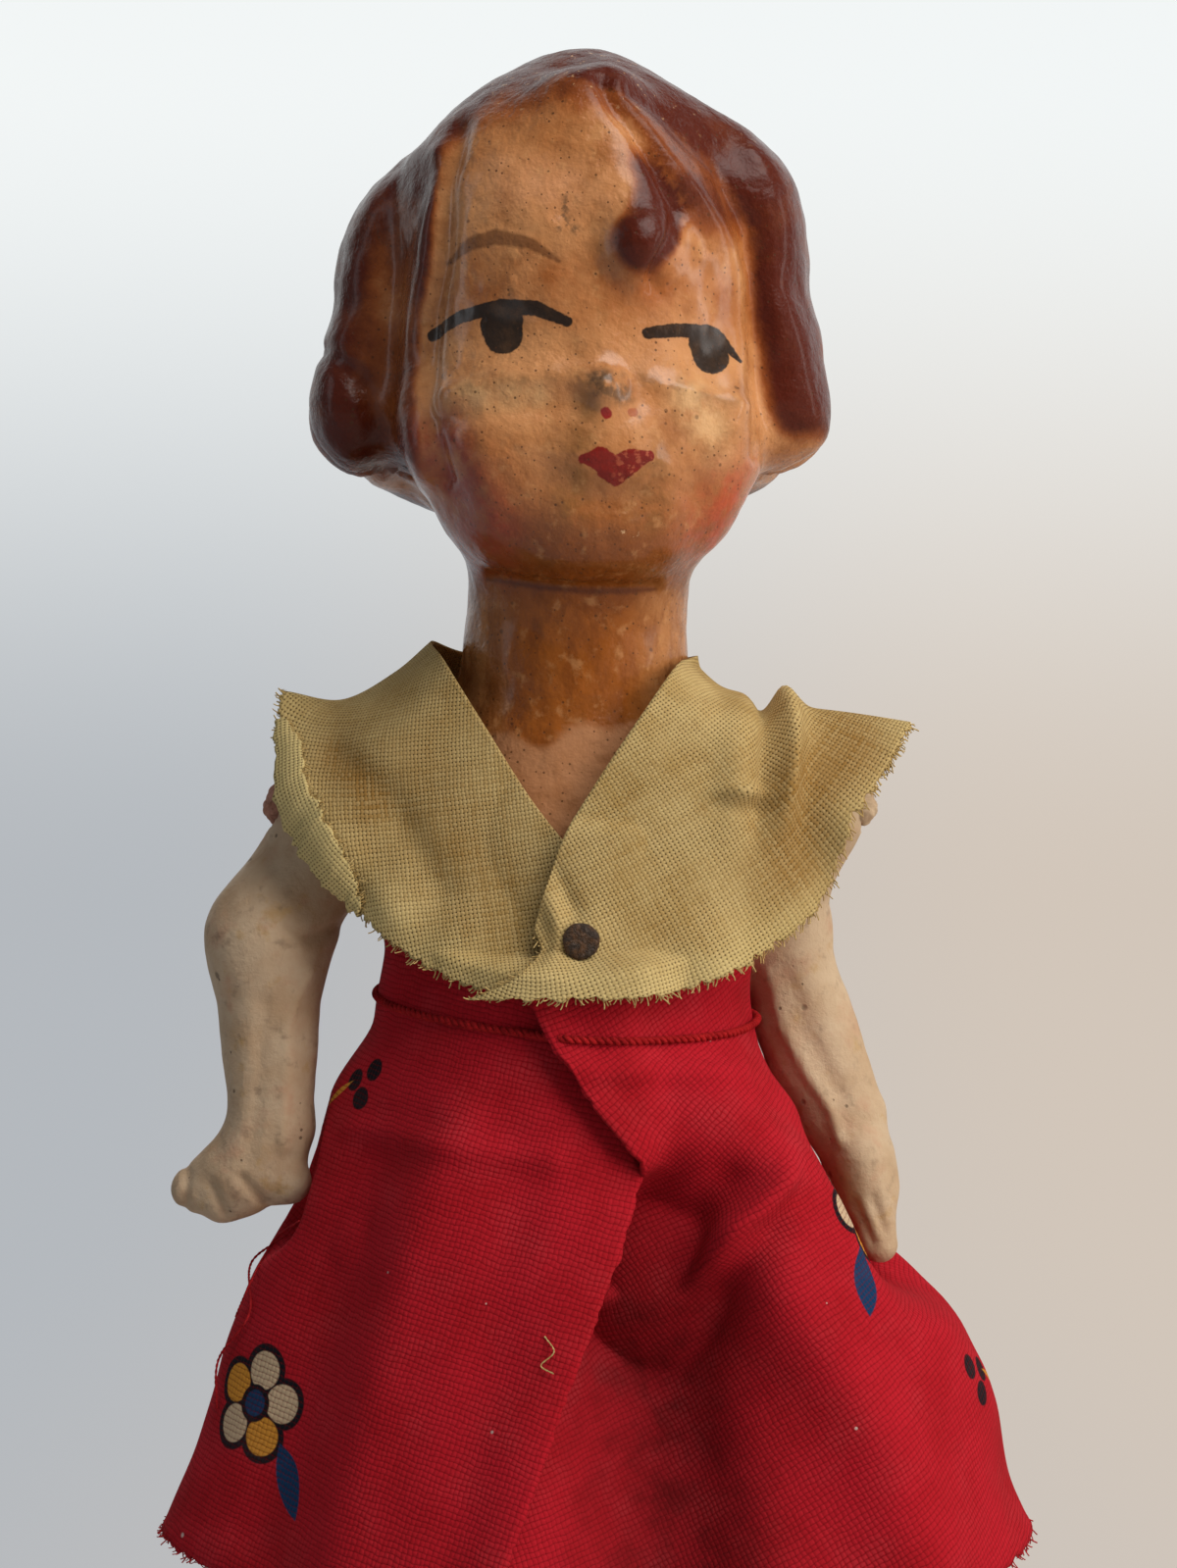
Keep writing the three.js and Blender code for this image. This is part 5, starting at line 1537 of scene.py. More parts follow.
# %% Starting a finish
class Finish(Wiring):
    """A material's tree with a Principled shader and the doll's place in millimetres."""

    def __init__(self, name):
        super().__init__(finishes[name].node_tree)
        self.tree.nodes.clear()
        self.shader = self.tree.nodes.new("ShaderNodeBsdfPrincipled")
        out = self.tree.nodes.new("ShaderNodeOutputMaterial")
        self.link(self.shader.outputs[0], out.inputs[0])
        self.place = self.group(place_group, {}).outputs[0]

    def value(self, name):
        return self.put("ShaderNodeAttribute", attribute_name=name).outputs["Fac"]

    def stain(self, size, start, full, place=None):
        inputs = {"Place": place or self.place, "Size": size, "Start": start, "Full": full}
        return self.group(stain_group, inputs).outputs[0]

    def specks(self, spacing, size, share):
        inputs = {"Place": self.place, "Spacing": spacing, "Size": size, "Share": share}
        return self.group(speck_group, inputs).outputs[0]

    def stroke(self, a, b, first, last, soft=0.2):
        inputs = {"Place": self.place, "From": (a[0], 0, a[1]), "To": (b[0], 0, b[1])}
        inputs.update({"From Radius": first, "To Radius": last, "Softness": soft})
        return self.group(stroke_group, inputs).outputs[0]

    def line(self, points, radii, soft=0.2):
        made = None
        for i in range(len(points) - 1):
            one = self.stroke(points[i], points[i + 1], radii[i], radii[i + 1], soft)
            made = one if made is None else most(made, one)
        return made

    def blot(self, base, tint, share, *stain, place=None):
        return mix(times(self.stain(*stain, place=place), share), base, tint)

    def finish(self, colour, rough, height=None, specular=None):
        self.link(colour, self.shader.inputs["Base Color"])
        if isinstance(rough, bpy.types.NodeSocket):
            self.link(rough, self.shader.inputs["Roughness"])
        else:
            self.shader.inputs["Roughness"].default_value = rough
        if height is not None:
            dent = self.put("ShaderNodeBump", {"Strength": 1.0, "Distance": 0.001, "Height": height})
            self.link(dent.outputs[0], self.shader.inputs["Normal"])
        if specular is not None:
            self.shader.inputs["Specular IOR Level"].default_value = specular
        print("finish:", len(self.tree.nodes), "nodes")


# %% [markdown]
# ### Varnished composition
# The head was painted flesh, sprayed brown on the hair, painted with a brush on the face, and covered
# in a thick varnish that has gone amber. The varnish runs out below the neck, where the chest is matt
# and pink. Dirt sits round the nose, the lips are half worn, and fine dark specks lie all over.

# %% Skin, spray and varnish
skin = Finish("varnish")
spot = xyz(skin.place)
across_at, height_at = spot[0], spot[2]
amber = mix(skin.stain(13, 0.35, 0.7), (0.52, 0.235, 0.09), (0.43, 0.165, 0.052))
# Darker down the lower face and on the chin: partly a darker varnish there, partly painted shade under the
# light from above.
amber = mix(fade(height_at, 252, 231), amber, (0.27, 0.07, 0.010), 0.9)
amber = mix(fade(height_at, 242, 231), amber, (0.15, 0.034, 0.004), 0.55)
amber = mix(fade(height_at, 231.5, 226), amber, (0.33, 0.095, 0.012), 0.7)
# Painted light: the sides of the neck are painted paler, in place of light from the side windows.
lit_neck_sides = fade(maths("ABSOLUTE", across_at), 6, 13)
amber = mix(times(lit_neck_sides, fade(height_at, 232, 228)), amber, (0.52, 0.25, 0.10), 0.6)
long_way = vector("MULTIPLY", skin.place, (1.0, 1.0, 0.28))
streaks = times(skin.stain(2.6, 0.42, 0.62, place=long_way), fade(height_at, 234, 229))
amber = mix(streaks, amber, (0.17, 0.042, 0.006), 0.55)
tinted = times(skin.stroke((-11, 266), (18, 265), 3.0, 3.0, 8.0), plus(skin.stain(6, 0.3, 0.65), 0.35))
amber = mix(least(times(tinted, 0.75), 0.8), amber, (0.30, 0.080, 0.014))
brow_pale = times(skin.stroke((-8, 278), (2, 276), 3.0, 3.0, 6.0), plus(skin.stain(5, 0.3, 0.7), 0.3))
amber = mix(brow_pale, amber, (0.64, 0.30, 0.14), 0.6)
lit = most(
    skin.stroke((15, 252), (18.5, 245.5), 2.4, 1.6, 5.0), skin.stroke((-13, 252.5), (-4, 252), 1.5, 1.0, 4.5)
)
amber = mix(times(lit, plus(skin.stain(2.6, 0.3, 0.6), 0.25)), amber, (0.60, 0.34, 0.15))
olive = most(
    skin.stroke((2.4, 251.5), (0.2, 239), 1.0, 2.2, 4.0), skin.stroke((11, 246), (9.5, 238.5), 1.0, 2.4, 4.5)
)
amber = mix(times(olive, skin.stain(2.4, 0.3, 0.6)), amber, (0.16, 0.075, 0.018), 0.55)
amber = skin.blot(amber, (0.23, 0.07, 0.014), 0.5, 4.5, 0.48, 0.72)
amber = skin.blot(amber, (0.56, 0.28, 0.11), 0.4, 2.2, 0.55, 0.72)
pink = mix(skin.stain(5, 0.4, 0.7), (0.42, 0.19, 0.085), (0.34, 0.14, 0.055))
varnished = skin.value("varnish")
colour = mix(varnished, pink, amber)
spray = plus(skin.value("hair_paint"), times(skin.stain(7, 0.3, 0.7), -0.28))
thin = mix(fade(spray, 0.02, 0.5), colour, (0.27, 0.072, 0.016))
hair = mix(fade(spray, 0.3, 0.85), thin, (0.078, 0.012, 0.005))
hair = skin.blot(hair, (0.20, 0.05, 0.014), 0.25, 3.2, 0.62, 0.78)
print("skin tone ready")

# %% Brow, eyes, nostrils, lips and blush
# The left blush is painted darker than the right one: painted shade on the side away from the light.
blush = times(times(skin.value("blush_left"), plus(skin.stain(3, 0.2, 0.65), 0.3)), 0.9)
blushed = mix(blush, hair, (0.27, 0.045, 0.022))
blush = times(times(skin.value("blush_right"), plus(skin.stain(2.6, 0.3, 0.65), 0.2)), 0.75)
blushed = mix(blush, blushed, (0.46, 0.075, 0.026))
brow = skin.line(
    [(-14.6, 269.0), (-11.9, 270.7), (-8.9, 271.3), (-4.7, 270.3), (-1.2, 268.1)], [0.35, 0.8, 0.95, 0.7, 0.25],
    0.5
)
face = mix(brow, blushed, (0.14, 0.05, 0.016), 0.8)
left_lid = skin.line(
    [(-16.7, 260.6), (-13.1, 262.2), (-8.3, 263.0), (-4.1, 262.6), (-0.2, 260.9)], [0.75, 0.8, 0.9, 0.9, 0.6]
)
left_eye = skin.stroke((-8.1, 260.8), (-7.9, 259.6), 2.65, 2.35)
right_lid = skin.line(
    [(9.4, 259.8), (12.5, 260.4), (15.4, 260.7), (18.2, 260.2), (20.9, 257.6)], [0.7, 0.85, 0.9, 0.9, 0.25]
)
right_eye = skin.stroke((16.9, 259.2), (17.2, 257.8), 2.5, 2.3)
ink = most(left_lid, left_eye, right_lid, right_eye)
ink_tone = mix(skin.stain(2.2, 0.45, 0.7), (0.010, 0.006, 0.004), (0.035, 0.017, 0.008))
face = mix(ink, face, ink_tone, 0.97)
left_lip = skin.line([(1.6, 244.3), (3.7, 244.3), (5.2, 243.2)], [0.55, 1.45, 1.5])
right_lip = skin.line([(5.2, 243.0), (7.4, 244.2), (9.5, 244.8)], [1.45, 1.4, 0.65])
low_lip = skin.line([(3.9, 242.8), (5.5, 242.1), (7.2, 243.0)], [0.6, 0.85, 0.6])
lips = most(left_lip, right_lip, low_lip)
worn = times(skin.stain(1.0, 0.5, 0.6), fade(across_at, 4.6, 6.4))
lip_tone = mix(worn, (0.19, 0.010, 0.006), (0.36, 0.075, 0.035))
face = mix(lips, face, lip_tone)
nostrils = most(
    skin.stroke((4.3, 249.9), (4.5, 249.7), 0.6, 0.6),
    times(skin.stroke((7.5, 250), (7.7, 250), 0.55, 0.5), 0.5)
)
face = mix(nostrils, face, (0.26, 0.015, 0.012))
print("painted strokes ready")

# %% Dirt, specks, chips and gloss
nose_dirt = times(skin.stroke((3.6, 253.2), (6.4, 252.0), 1.5, 1.2, 1.6), skin.stain(1.6, 0.35, 0.6))
band_dirt = times(
    skin.line(
        [(-14, 253.2), (-4.7, 253.8), (4.9, 254.6), (14, 253.2), (21, 252)], [0.5, 0.8, 1.2, 0.8, 0.4], 2.6
    ),
    skin.stain(3, 0.42, 0.66)
)
scratch = times(
    skin.line([(-0.4, 275.8), (-0.9, 272.6), (1.0, 271.8)], [0.3, 0.9, 0.4], 1.2), skin.stain(0.9, 0.45, 0.6)
)
grime = plus(times(nose_dirt, 0.75), plus(times(band_dirt, 0.42), times(scratch, 0.7)))
colour = mix(least(grime, 0.85), face, (0.075, 0.045, 0.025))
# Painted shade: a dark line along the pressed crease under the chin.
chin_line = skin.line(
    [(-10.3, 231.2), (-3.7, 229.9), (2.3, 229.3), (7.1, 229.5), (10.6, 229.9)], [0.2, 0.3, 0.35, 0.4, 0.15], 0.6
)
colour = mix(chin_line, colour, (0.09, 0.02, 0.006), 0.75)
specks = plus(skin.specks(0.8, 0.17, 0.8), times(skin.specks(1.7, 0.3, 0.35), 0.75))
colour = mix(least(times(specks, 0.75), 1.0), colour, (0.07, 0.025, 0.008))
chips = times(skin.stain(1.3, 0.63, 0.66), skin.line([(3.6, 235.3), (7.2, 235.7)], [0.7, 1.1], 0.6))
scuffs = times(skin.stain(1.1, 0.64, 0.68), fade(height_at, 284, 290))
bare = most(chips, times(scuffs, 0.6))
colour = mix(bare, colour, (0.55, 0.33, 0.17))
uneven = plus(
    times(skin.stain(5.5, 0.2, 0.8), 0.3),
    plus(times(skin.stain(2.4, 0.2, 0.8), 0.1), times(skin.stain(0.9, 0.3, 0.7), 0.025))
)
uneven = plus(uneven, times(specks, -0.03))
rough = plus(times(varnished, -0.42), plus(0.66, times(skin.stain(3.5, 0.45, 0.7), 0.12)))
gloss = times(
    plus(0.6, times(skin.stain(6, 0.4, 0.7), -0.25)), plus(0.15, times(fade(height_at, 293, 281), 0.85))
)
gloss = times(gloss, plus(1.0, times(skin.value("hair_paint"), -0.65)))
gloss = times(gloss, plus(0.5, times(fade(height_at, 228, 234), 0.5)))
skin.link(times(varnished, gloss), skin.shader.inputs["Coat Weight"])
skin.shader.inputs["Coat Roughness"].default_value = 0.17
skin.finish(colour, rough, uneven, specular=0.1)
coat("varnish", body)

# %% [markdown]
# ### Chalky composition, string and rust
# The limbs have lost their varnish and are matt, pale and dusty, with yellow stains, grey rubs and pits.
# The legs carry the same paint with a cream sock and a dark red shoe. The string is painted over pink.


# %% Limb finishes
def chalk_colour(made):
    pale = mix(made.stain(9, 0.35, 0.7), (0.52, 0.38, 0.25), (0.42, 0.275, 0.16))
    pale = made.blot(pale, (0.46, 0.25, 0.15), 0.6, 5, 0.52, 0.72)
    pale = made.blot(pale, (0.42, 0.25, 0.085), 0.6, 4, 0.58, 0.72)
    pale = made.blot(pale, (0.20, 0.13, 0.08), 0.55, 2.4, 0.56, 0.74)
    specks = plus(made.specks(1.7, 0.24, 0.3), made.specks(3.4, 0.6, 0.22))
    return mix(specks, pale, (0.10, 0.06, 0.035), 0.7), specks


def chalk_height(made, specks):
    grain = plus(times(made.stain(1.8, 0.2, 0.8), 0.1), times(made.stain(0.6, 0.3, 0.7), 0.03))
    return plus(grain, times(specks, -0.12))


CHALK_SHINE = 0.25
chalk = Finish("chalk")
colour, specks = chalk_colour(chalk)
across = xyz(chalk.place)[0]
# Painted light: the doll's left arm, on the side the lamps light more, is painted a little paler.
colour = mix(fade(across, -5, 5), colour, (0.48, 0.36, 0.22), 0.2)
handled = most(
    chalk.stroke((-40.5, 163), (-38, 159), 1.5, 2.0, 5.0), chalk.stroke((36.5, 181), (40.5, 168), 0.2, 0.2, 2.2)
)
colour = mix(times(handled, plus(chalk.stain(3, 0.3, 0.7), 0.3)), colour, (0.30, 0.165, 0.062))
smudge = times(
    chalk.line([(-37, 192), (-34, 194), (-30.5, 195.5)], [0.4, 0.9, 0.5], 1.8), chalk.stain(1.6, 0.3, 0.65)
)
colour = mix(smudge, colour, (0.12, 0.085, 0.055), 0.75)
thumb = chalk.stroke((-40.6, 156.2), (-39.8, 155.4), 1.2, 1.2, 0.6)
colour = mix(thumb, colour, (0.24, 0.12, 0.045), 0.8)
rosy = chalk.stroke((-39.8, 153.6), (-38.8, 153.2), 0.9, 0.8, 1.4)
colour = mix(rosy, colour, (0.55, 0.20, 0.10), 0.55)
chalk.finish(
    colour, plus(0.62, times(chalk.stain(4, 0.4, 0.7), 0.2)), chalk_height(chalk, specks), specular=CHALK_SHINE
)
coat("chalk", right_arm, left_arm)

leg = Finish("painted_leg")
colour, specks = chalk_colour(leg)
sock = mix(leg.stain(3, 0.4, 0.7), (0.62, 0.56, 0.44), (0.48, 0.40, 0.29))
colour = mix(leg.value("sock"), colour, sock)
shoe = mix(leg.stain(2.5, 0.45, 0.75), (0.10, 0.018, 0.012), (0.20, 0.05, 0.028))
shod = leg.value("shoe")
colour = mix(shod, colour, shoe)
colour = mix(times(shod, times(leg.stain(1.4, 0.6, 0.66), 0.8)), colour, (0.42, 0.30, 0.2))
leg.finish(colour, plus(0.72, times(shod, -0.36)), chalk_height(leg, specks), specular=CHALK_SHINE)
coat("painted_leg", right_leg, left_leg)

string = Finish("string")
colour = mix(string.stain(1.4, 0.35, 0.7), (0.50, 0.24, 0.17), (0.36, 0.15, 0.09))
colour = string.blot(colour, (0.16, 0.07, 0.04), 0.5, 0.7, 0.55, 0.7)
string.finish(colour, 0.8, times(string.stain(0.5, 0.3, 0.7), 0.12))
for i, knot in enumerate(knots):
    coat("chalk" if i == 1 else "string", knot)
for name in ("arm_cord", "leg_cord"):
    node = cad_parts[name]
    node.data.materials.clear()
    coat("string", node)

rust = Finish("rust")
colour = mix(rust.stain(0.9, 0.4, 0.65), (0.060, 0.042, 0.032), (0.13, 0.062, 0.028))
colour = rust.blot(colour, (0.16, 0.13, 0.11), 0.6, 0.45, 0.55, 0.7)
rust.shader.inputs["Metallic"].default_value = 0.55
rust.finish(colour, plus(0.5, times(rust.stain(0.6, 0.4, 0.6), 0.35)), times(rust.stain(0.4, 0.3, 0.7), 0.16))
coat("rust", tack)

# %% [markdown]
# ### Woven cloth
# Both cloths are plain weaves. In the sheet's flat pattern each square of the weave has either the warp
# or the weft on top. The threads wander a little, differ in tone, and leave open gaps at the corners,
# more in the muslin than in the cotton. The finishes paint these gaps and the low parts of the weave dark, as
# painted shade.

# %% Plain weave
weave_group, wires, ins, outs = group_tree(
    "plain_weave", "Shader",
    {"Cloth": "Vector", "Warp Pitch": 0.6, "Weft Pitch": 0.6, "Thread Width": 0.8, "Wander": 0.1},
    {"Height": "Float", "Gap": "Float", "Tone": "Float", "Row": "Float"},
)
stray = wires.put("ShaderNodeTexNoise", {"Vector": ins["Cloth"], "Scale": 0.35, "Detail": 2.0}).outputs["Color"]
stray = vector("SUBTRACT", stray, (0.5, 0.5, 0.5))
stray = vector("SCALE", stray, scale=times(ins["Wander"], 4.0))
on_cloth = xyz(vector("ADD", ins["Cloth"], stray))
u = over(on_cloth[0], ins["Warp Pitch"])
v = over(on_cloth[1], ins["Weft Pitch"])
u_id, v_id = maths("FLOOR", u), maths("FLOOR", v)


def from_middle(value):
    part = maths("FRACT", value)
    return maths("ABSOLUTE", minus(times(part, 2.0), 1.0))


def thread_tone(one, other):
    spot = wires.put("ShaderNodeCombineXYZ", {0: one, 1: other}).outputs
    return wires.put("ShaderNodeTexWhiteNoise", {"Vector": spot[0]}, noise_dimensions="3D").outputs[0]


def rounded(value):
    square = times(value, value)
    return minus(1.0, square)


u_off, v_off = from_middle(u), from_middle(v)
parity = maths("FLOORED_MODULO", plus(u_id, v_id), 2.0)
warp_in = fade(minus(u_off, ins["Thread Width"]), 0.12, -0.12)
weft_in = fade(minus(v_off, ins["Thread Width"]), 0.12, -0.12)
warp_top = times(rounded(times(u_off, 0.9)), rounded(times(v_off, 0.75)))
weft_top = times(rounded(times(v_off, 0.9)), rounded(times(u_off, 0.75)))
warp_height = times(warp_in, warp_top)
weft_height = times(weft_in, weft_top)
warp_up = minus(1.0, parity)
high = plus(times(warp_height, warp_up), times(weft_height, parity))
low = plus(times(weft_height, warp_up), times(warp_height, parity))
weave_height = most(high, times(low, 0.45))
gap = minus(1.0, most(warp_in, weft_in))
tone = plus(times(thread_tone(u_id, 3.0), warp_up), times(thread_tone(7.0, v_id), parity))
wires.link(weave_height, outs["Height"])
wires.link(gap, outs["Gap"])
wires.link(tone, outs["Tone"])
wires.link(v_off, outs["Row"])
print("weave group:", len(weave_group.nodes), "nodes")


# %% Muslin
def cloth_place(made):
    flat = made.put("ShaderNodeUVMap", uv_map="cloth").outputs[0]
    return vector("SCALE", flat, scale=100.0)


def weave_node(made, cloth, warp, weft, width, wander):
    inputs = {"Cloth": cloth, "Warp Pitch": warp, "Weft Pitch": weft, "Thread Width": width, "Wander": wander}
    return made.group(weave_group, inputs).outputs


muslin = Finish("muslin")
cloth = cloth_place(muslin)
weave = weave_node(muslin, cloth, 0.48, 0.54, 0.64, 0.1)
ochre = mix(muslin.stain(11, 0.35, 0.68, place=cloth), (0.50, 0.36, 0.15), (0.38, 0.245, 0.082))
ochre = muslin.blot(ochre, (0.30, 0.17, 0.046), 0.5, 4, 0.5, 0.75, place=cloth)
# Painted shade: darker ochre in the valley and by the neck on the doll's right half, and on the tilted wing of
# its left half.
ochre = mix(muslin.value("tan"), ochre, (0.25, 0.125, 0.026), 0.9)
# Paler at the raw edges and over the whole turned-over crescent: partly faded cloth, partly painted light where
# these catch the light.
ochre = mix(muslin.value("bleach"), ochre, (0.62, 0.50, 0.22), 0.75)
ochre = mix(weave["Tone"], ochre, (0.62, 0.48, 0.23), 0.3)
# Painted shade: the low parts of the weave and the open gaps between threads are painted dark.
ochre = mix(fade(weave["Height"], 0.5, 0.1), ochre, (0.20, 0.115, 0.035), 0.16)
open_weave = plus(0.5, times(muslin.stain(7, 0.35, 0.62, place=cloth), 0.5))
ochre = mix(times(weave["Gap"], open_weave), ochre, (0.060, 0.030, 0.008))
muslin.finish(ochre, 0.95, times(weave["Height"], 0.1), specular=0.15)


def in_doll(piece):
    found = np.empty(len(piece.data.vertices) * 3)
    piece.data.vertices.foreach_get("co", found)
    return found.reshape(-1, 3) * 1000 - SHIFT


for piece, net in ((collar_right, right_net), (collar_left, left_net), (collar_roll, roll_net)):
    p = in_doll(piece)
    wing = tan = 0 * p[:, 0]
    # Painted shade on the wing, which tilts away from the light.
    if piece is collar_left:
        wing = tan = near_line(p, [(28, 196), (29, 205), (36, 210)], 6.0)
    # Painted shade in the valley and in the inner part by the neck.
    if piece is collar_right:
        inner_shade = 0.5 * near_line(p, [(-20, 207), (-11, 196)], 7.0)
        tan = np.maximum(near_line(p, [(-29.3, 209.5), (-24, 204)], 3.5), inner_shade)
    point_value(piece, "tan", tan * ease(4, -2, p[:, 1]))
    # Paler near the raw edges and over the crescent: faded cloth and painted light.
    to_edge = np.array([np.linalg.norm(net[:, -1] - q, axis=1).min() for q in p])
    faded_and_lit_edge = 0.5 * ease(7, 0.5, to_edge) * (1 - wing)
    point_value(piece, "bleach", np.maximum(1.0, faded_and_lit_edge) if piece is collar_roll else faded_and_lit_edge)
    coat("muslin", piece)

for name, light, dark in (
    ("muslin_thread", (0.54, 0.40, 0.17), (0.40, 0.26, 0.09)),
    ("cotton_thread", (0.42, 0.016, 0.02), (0.24, 0.006, 0.008))
):
    thread = Finish(name)
    thread.finish(mix(thread.stain(0.8, 0.35, 0.65), light, dark), 0.95, specular=0.15)

# %% [markdown]
# ### Print on the cotton
# The red cotton is printed with small scattered flowers. The print here is a plain repeat of its own:
# sprigs of lens-shaped leaves, round blossoms and berries, drawn in the flat pattern of the cloth in
# navy, cream, mustard and black, so it follows each fold.

# %% Leaves and dots
leaf_group, wires, ins, outs = group_tree(
    "leaf_shape", "Shader",
    {"Cloth": "Vector", "Centre": (0, 0, 0), "Turn": 0.0, "Length": 8.0, "Width": 3.0},
    {"Mask": "Float"},
)
spin = wires.put(
    "ShaderNodeVectorRotate", {"Vector": ins["Cloth"], "Center": ins["Centre"], "Angle": ins["Turn"]},
    rotation_type="Z_AXIS"
)
local = xyz(vector("SUBTRACT", spin.outputs[0], ins["Centre"]))
reach = over(local[0], times(ins["Length"], 0.5))
square = times(reach, reach)
half = times(minus(1.0, square), times(ins["Width"], 0.5))
outside = minus(maths("ABSOLUTE", local[1]), half)
wires.link(fade(outside, 0.12, -0.12), outs[0])

dot_group, wires, ins, outs = group_tree(
    "dot_shape", "Shader",
    {"Cloth": "Vector", "Centre": (0, 0, 0), "Radius": 1.0},
    {"Mask": "Float"},
)
away = minus(vector("DISTANCE", ins["Cloth"], ins["Centre"]), ins["Radius"])
wires.link(fade(away, 0.12, -0.12), outs[0])
print("print shapes:", len(leaf_group.nodes), len(dot_group.nodes), "nodes")

# %% The repeat
TILE = (78.0, 70.0)
NAVY, CREAM = (0.005, 0.035, 0.095), (0.52, 0.38, 0.24)
MUSTARD, BLACK = (0.56, 0.24, 0.03), (0.008, 0.007, 0.010)
print_group, wires, ins, outs = group_tree(
    "flower_print", "Shader",
    {"Cloth": "Vector", "Ground": "Color"},
    {"Color": "Color", "Mask": "Float"},
)
parts = xyz(ins["Cloth"])
column = maths("FLOOR", over(parts[0], TILE[0]))
slip = times(maths("FLOORED_MODULO", column, 2.0), TILE[1] / 2)
tile_u = maths("FLOORED_MODULO", parts[0], TILE[0])
tile_v = maths("FLOORED_MODULO", plus(parts[1], slip), TILE[1])
tile = wires.put("ShaderNodeCombineXYZ", {0: tile_u, 1: tile_v}).outputs[0]
shapes = []


def leaf_at(x, y, degrees, length, width, colour):
    inputs = {
        "Cloth": tile, "Centre": (x, y, 0), "Turn": -math.radians(degrees), "Length": length, "Width": width
    }
    shapes.append((wires.group(leaf_group, inputs).outputs[0], colour))


def dot_at(x, y, radius, colour):
    inputs = {"Cloth": tile, "Centre": (x, y, 0), "Radius": radius}
    shapes.append((wires.group(dot_group, inputs).outputs[0], colour))


leaf_at(13.5, 15.0, 62, 15.0, 1.0, NAVY)
leaf_at(10.4, 15.2, 118, 8.0, 3.6, CREAM)
leaf_at(17.4, 17.4, 20, 9.0, 4.0, NAVY)
leaf_at(13.2, 22.6, 95, 7.5, 3.4, CREAM)
leaf_at(17.2, 11.6, -8, 6.5, 2.8, MUSTARD)
for i in range(5):
    a = math.radians(90 + 72 * i)
    dot_at(42 + 4.3 * math.cos(a), 38 + 4.3 * math.sin(a), 3.2, BLACK)
for i in range(5):
    a = math.radians(90 + 72 * i)
    dot_at(42 + 4.2 * math.cos(a), 38 + 4.2 * math.sin(a), 2.35, MUSTARD if i % 2 else CREAM)
dot_at(42, 38, 2.3, BLACK)
dot_at(42, 38, 1.6, NAVY)
leaf_at(50.5, 31.0, -48, 10.0, 3.8, NAVY)
for x, y in ((40.0, 10.5), (43.2, 12.6), (42.6, 8.6)):
    dot_at(x, y, 1.5, BLACK)
leaf_at(37.0, 8.0, 40, 7.0, 0.9, MUSTARD)
colour, covered = ins["Ground"], None
for mask, tint in shapes:
    colour = mix(mask, colour, tint)
    covered = mask if covered is None else most(covered, mask)
wires.link(colour, outs["Color"])
wires.link(covered, outs["Mask"])
print("print group:", len(print_group.nodes), "nodes")


# %% Red cotton and its cord
def cotton_finish(name, phase):
    cotton = Finish(name)
    cloth = cloth_place(cotton)
    weave = weave_node(cotton, cloth, 0.62, 0.68, 0.9, 0.2)
    red = mix(cotton.stain(14, 0.35, 0.7, place=cloth), (0.40, 0.009, 0.018), (0.32, 0.006, 0.011))
    red = mix(weave["Tone"], red, (0.56, 0.022, 0.034), 0.14)
    moved = vector("ADD", cloth, phase)
    printed = cotton.group(print_group, {"Cloth": moved, "Ground": red})
    thin = times(printed.outputs["Mask"], times(fade(weave["Height"], 0.4, 0.15), 0.15))
    colour = mix(thin, printed.outputs["Color"], red)
    # Painted shade: darker between the rows of threads and on the low parts of the weave.
    shade_between_rows = times(fade(weave["Row"], 0.55, 1.0), 0.26)
    low = plus(shade_between_rows, times(fade(weave["Height"], 0.5, 0.05), 0.3))
    colour = mix(low, colour, (0.09, 0.002, 0.003))
    # Darker red in the hollow down the left panel: partly soiling, partly painted shade where the cloth there
    # faces away from the light.
    soil = times(cotton.value("soil"), plus(0.55, times(cotton.stain(5, 0.4, 0.7, place=cloth), 0.35)))
    colour = mix(soil, colour, (0.10, 0.004, 0.005))
    dust = times(cotton.stain(9, 0.45, 0.75, place=cloth), fade(weave["Height"], 0.3, 0.9))
    colour = mix(dust, colour, (0.55, 0.25, 0.25), 0.05)
    lint = cotton.group(speck_group, {"Place": cloth, "Spacing": 4.5, "Size": 0.3, "Share": 0.3}).outputs[0]
    colour = mix(lint, colour, (0.6, 0.5, 0.45), 0.7)
    cotton.finish(colour, 0.95, times(weave["Height"], 0.09), specular=0.12)


cotton_finish("cotton", (64.0, 18.0, 0.0))
cotton_finish("cotton_left", (52.0, 60.0, 0.0))
for piece in (skirt_right, skirt_left):
    p = in_doll(piece)
    # The hollow down the doll's left panel, darker as soiling and as painted shade; the right panel gets none.
    shaded = near_line(p, [(8, 139), (11, 126), (14, 106)], 12.0) * ease(-4, -12, p[:, 1])
    point_value(piece, "soil", shaded if piece is skirt_left else 0 * shaded)
coat("cotton", skirt_right)
coat("cotton_left", skirt_left)

cord = Finish("cord")
colour = mix(cord.stain(2.5, 0.35, 0.7), (0.42, 0.012, 0.014), (0.27, 0.006, 0.008))
colour = cord.blot(colour, (0.14, 0.003, 0.004), 0.4, 0.5, 0.5, 0.7)
cord.finish(colour, 0.9, times(cord.stain(0.35, 0.3, 0.7), 0.1), specular=0.15)

# %% [markdown]
# ## Cloth in place
# Cloth crosses the joints, from the torso onto each arm and each leg. Each sheet, its frays and its loose
# threads get their placing baked into their points, and the solids the collar halves and skirt panels stand for
# are hidden.


# %% Cloth placed in the frame
def bend(piece):
    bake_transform(piece)


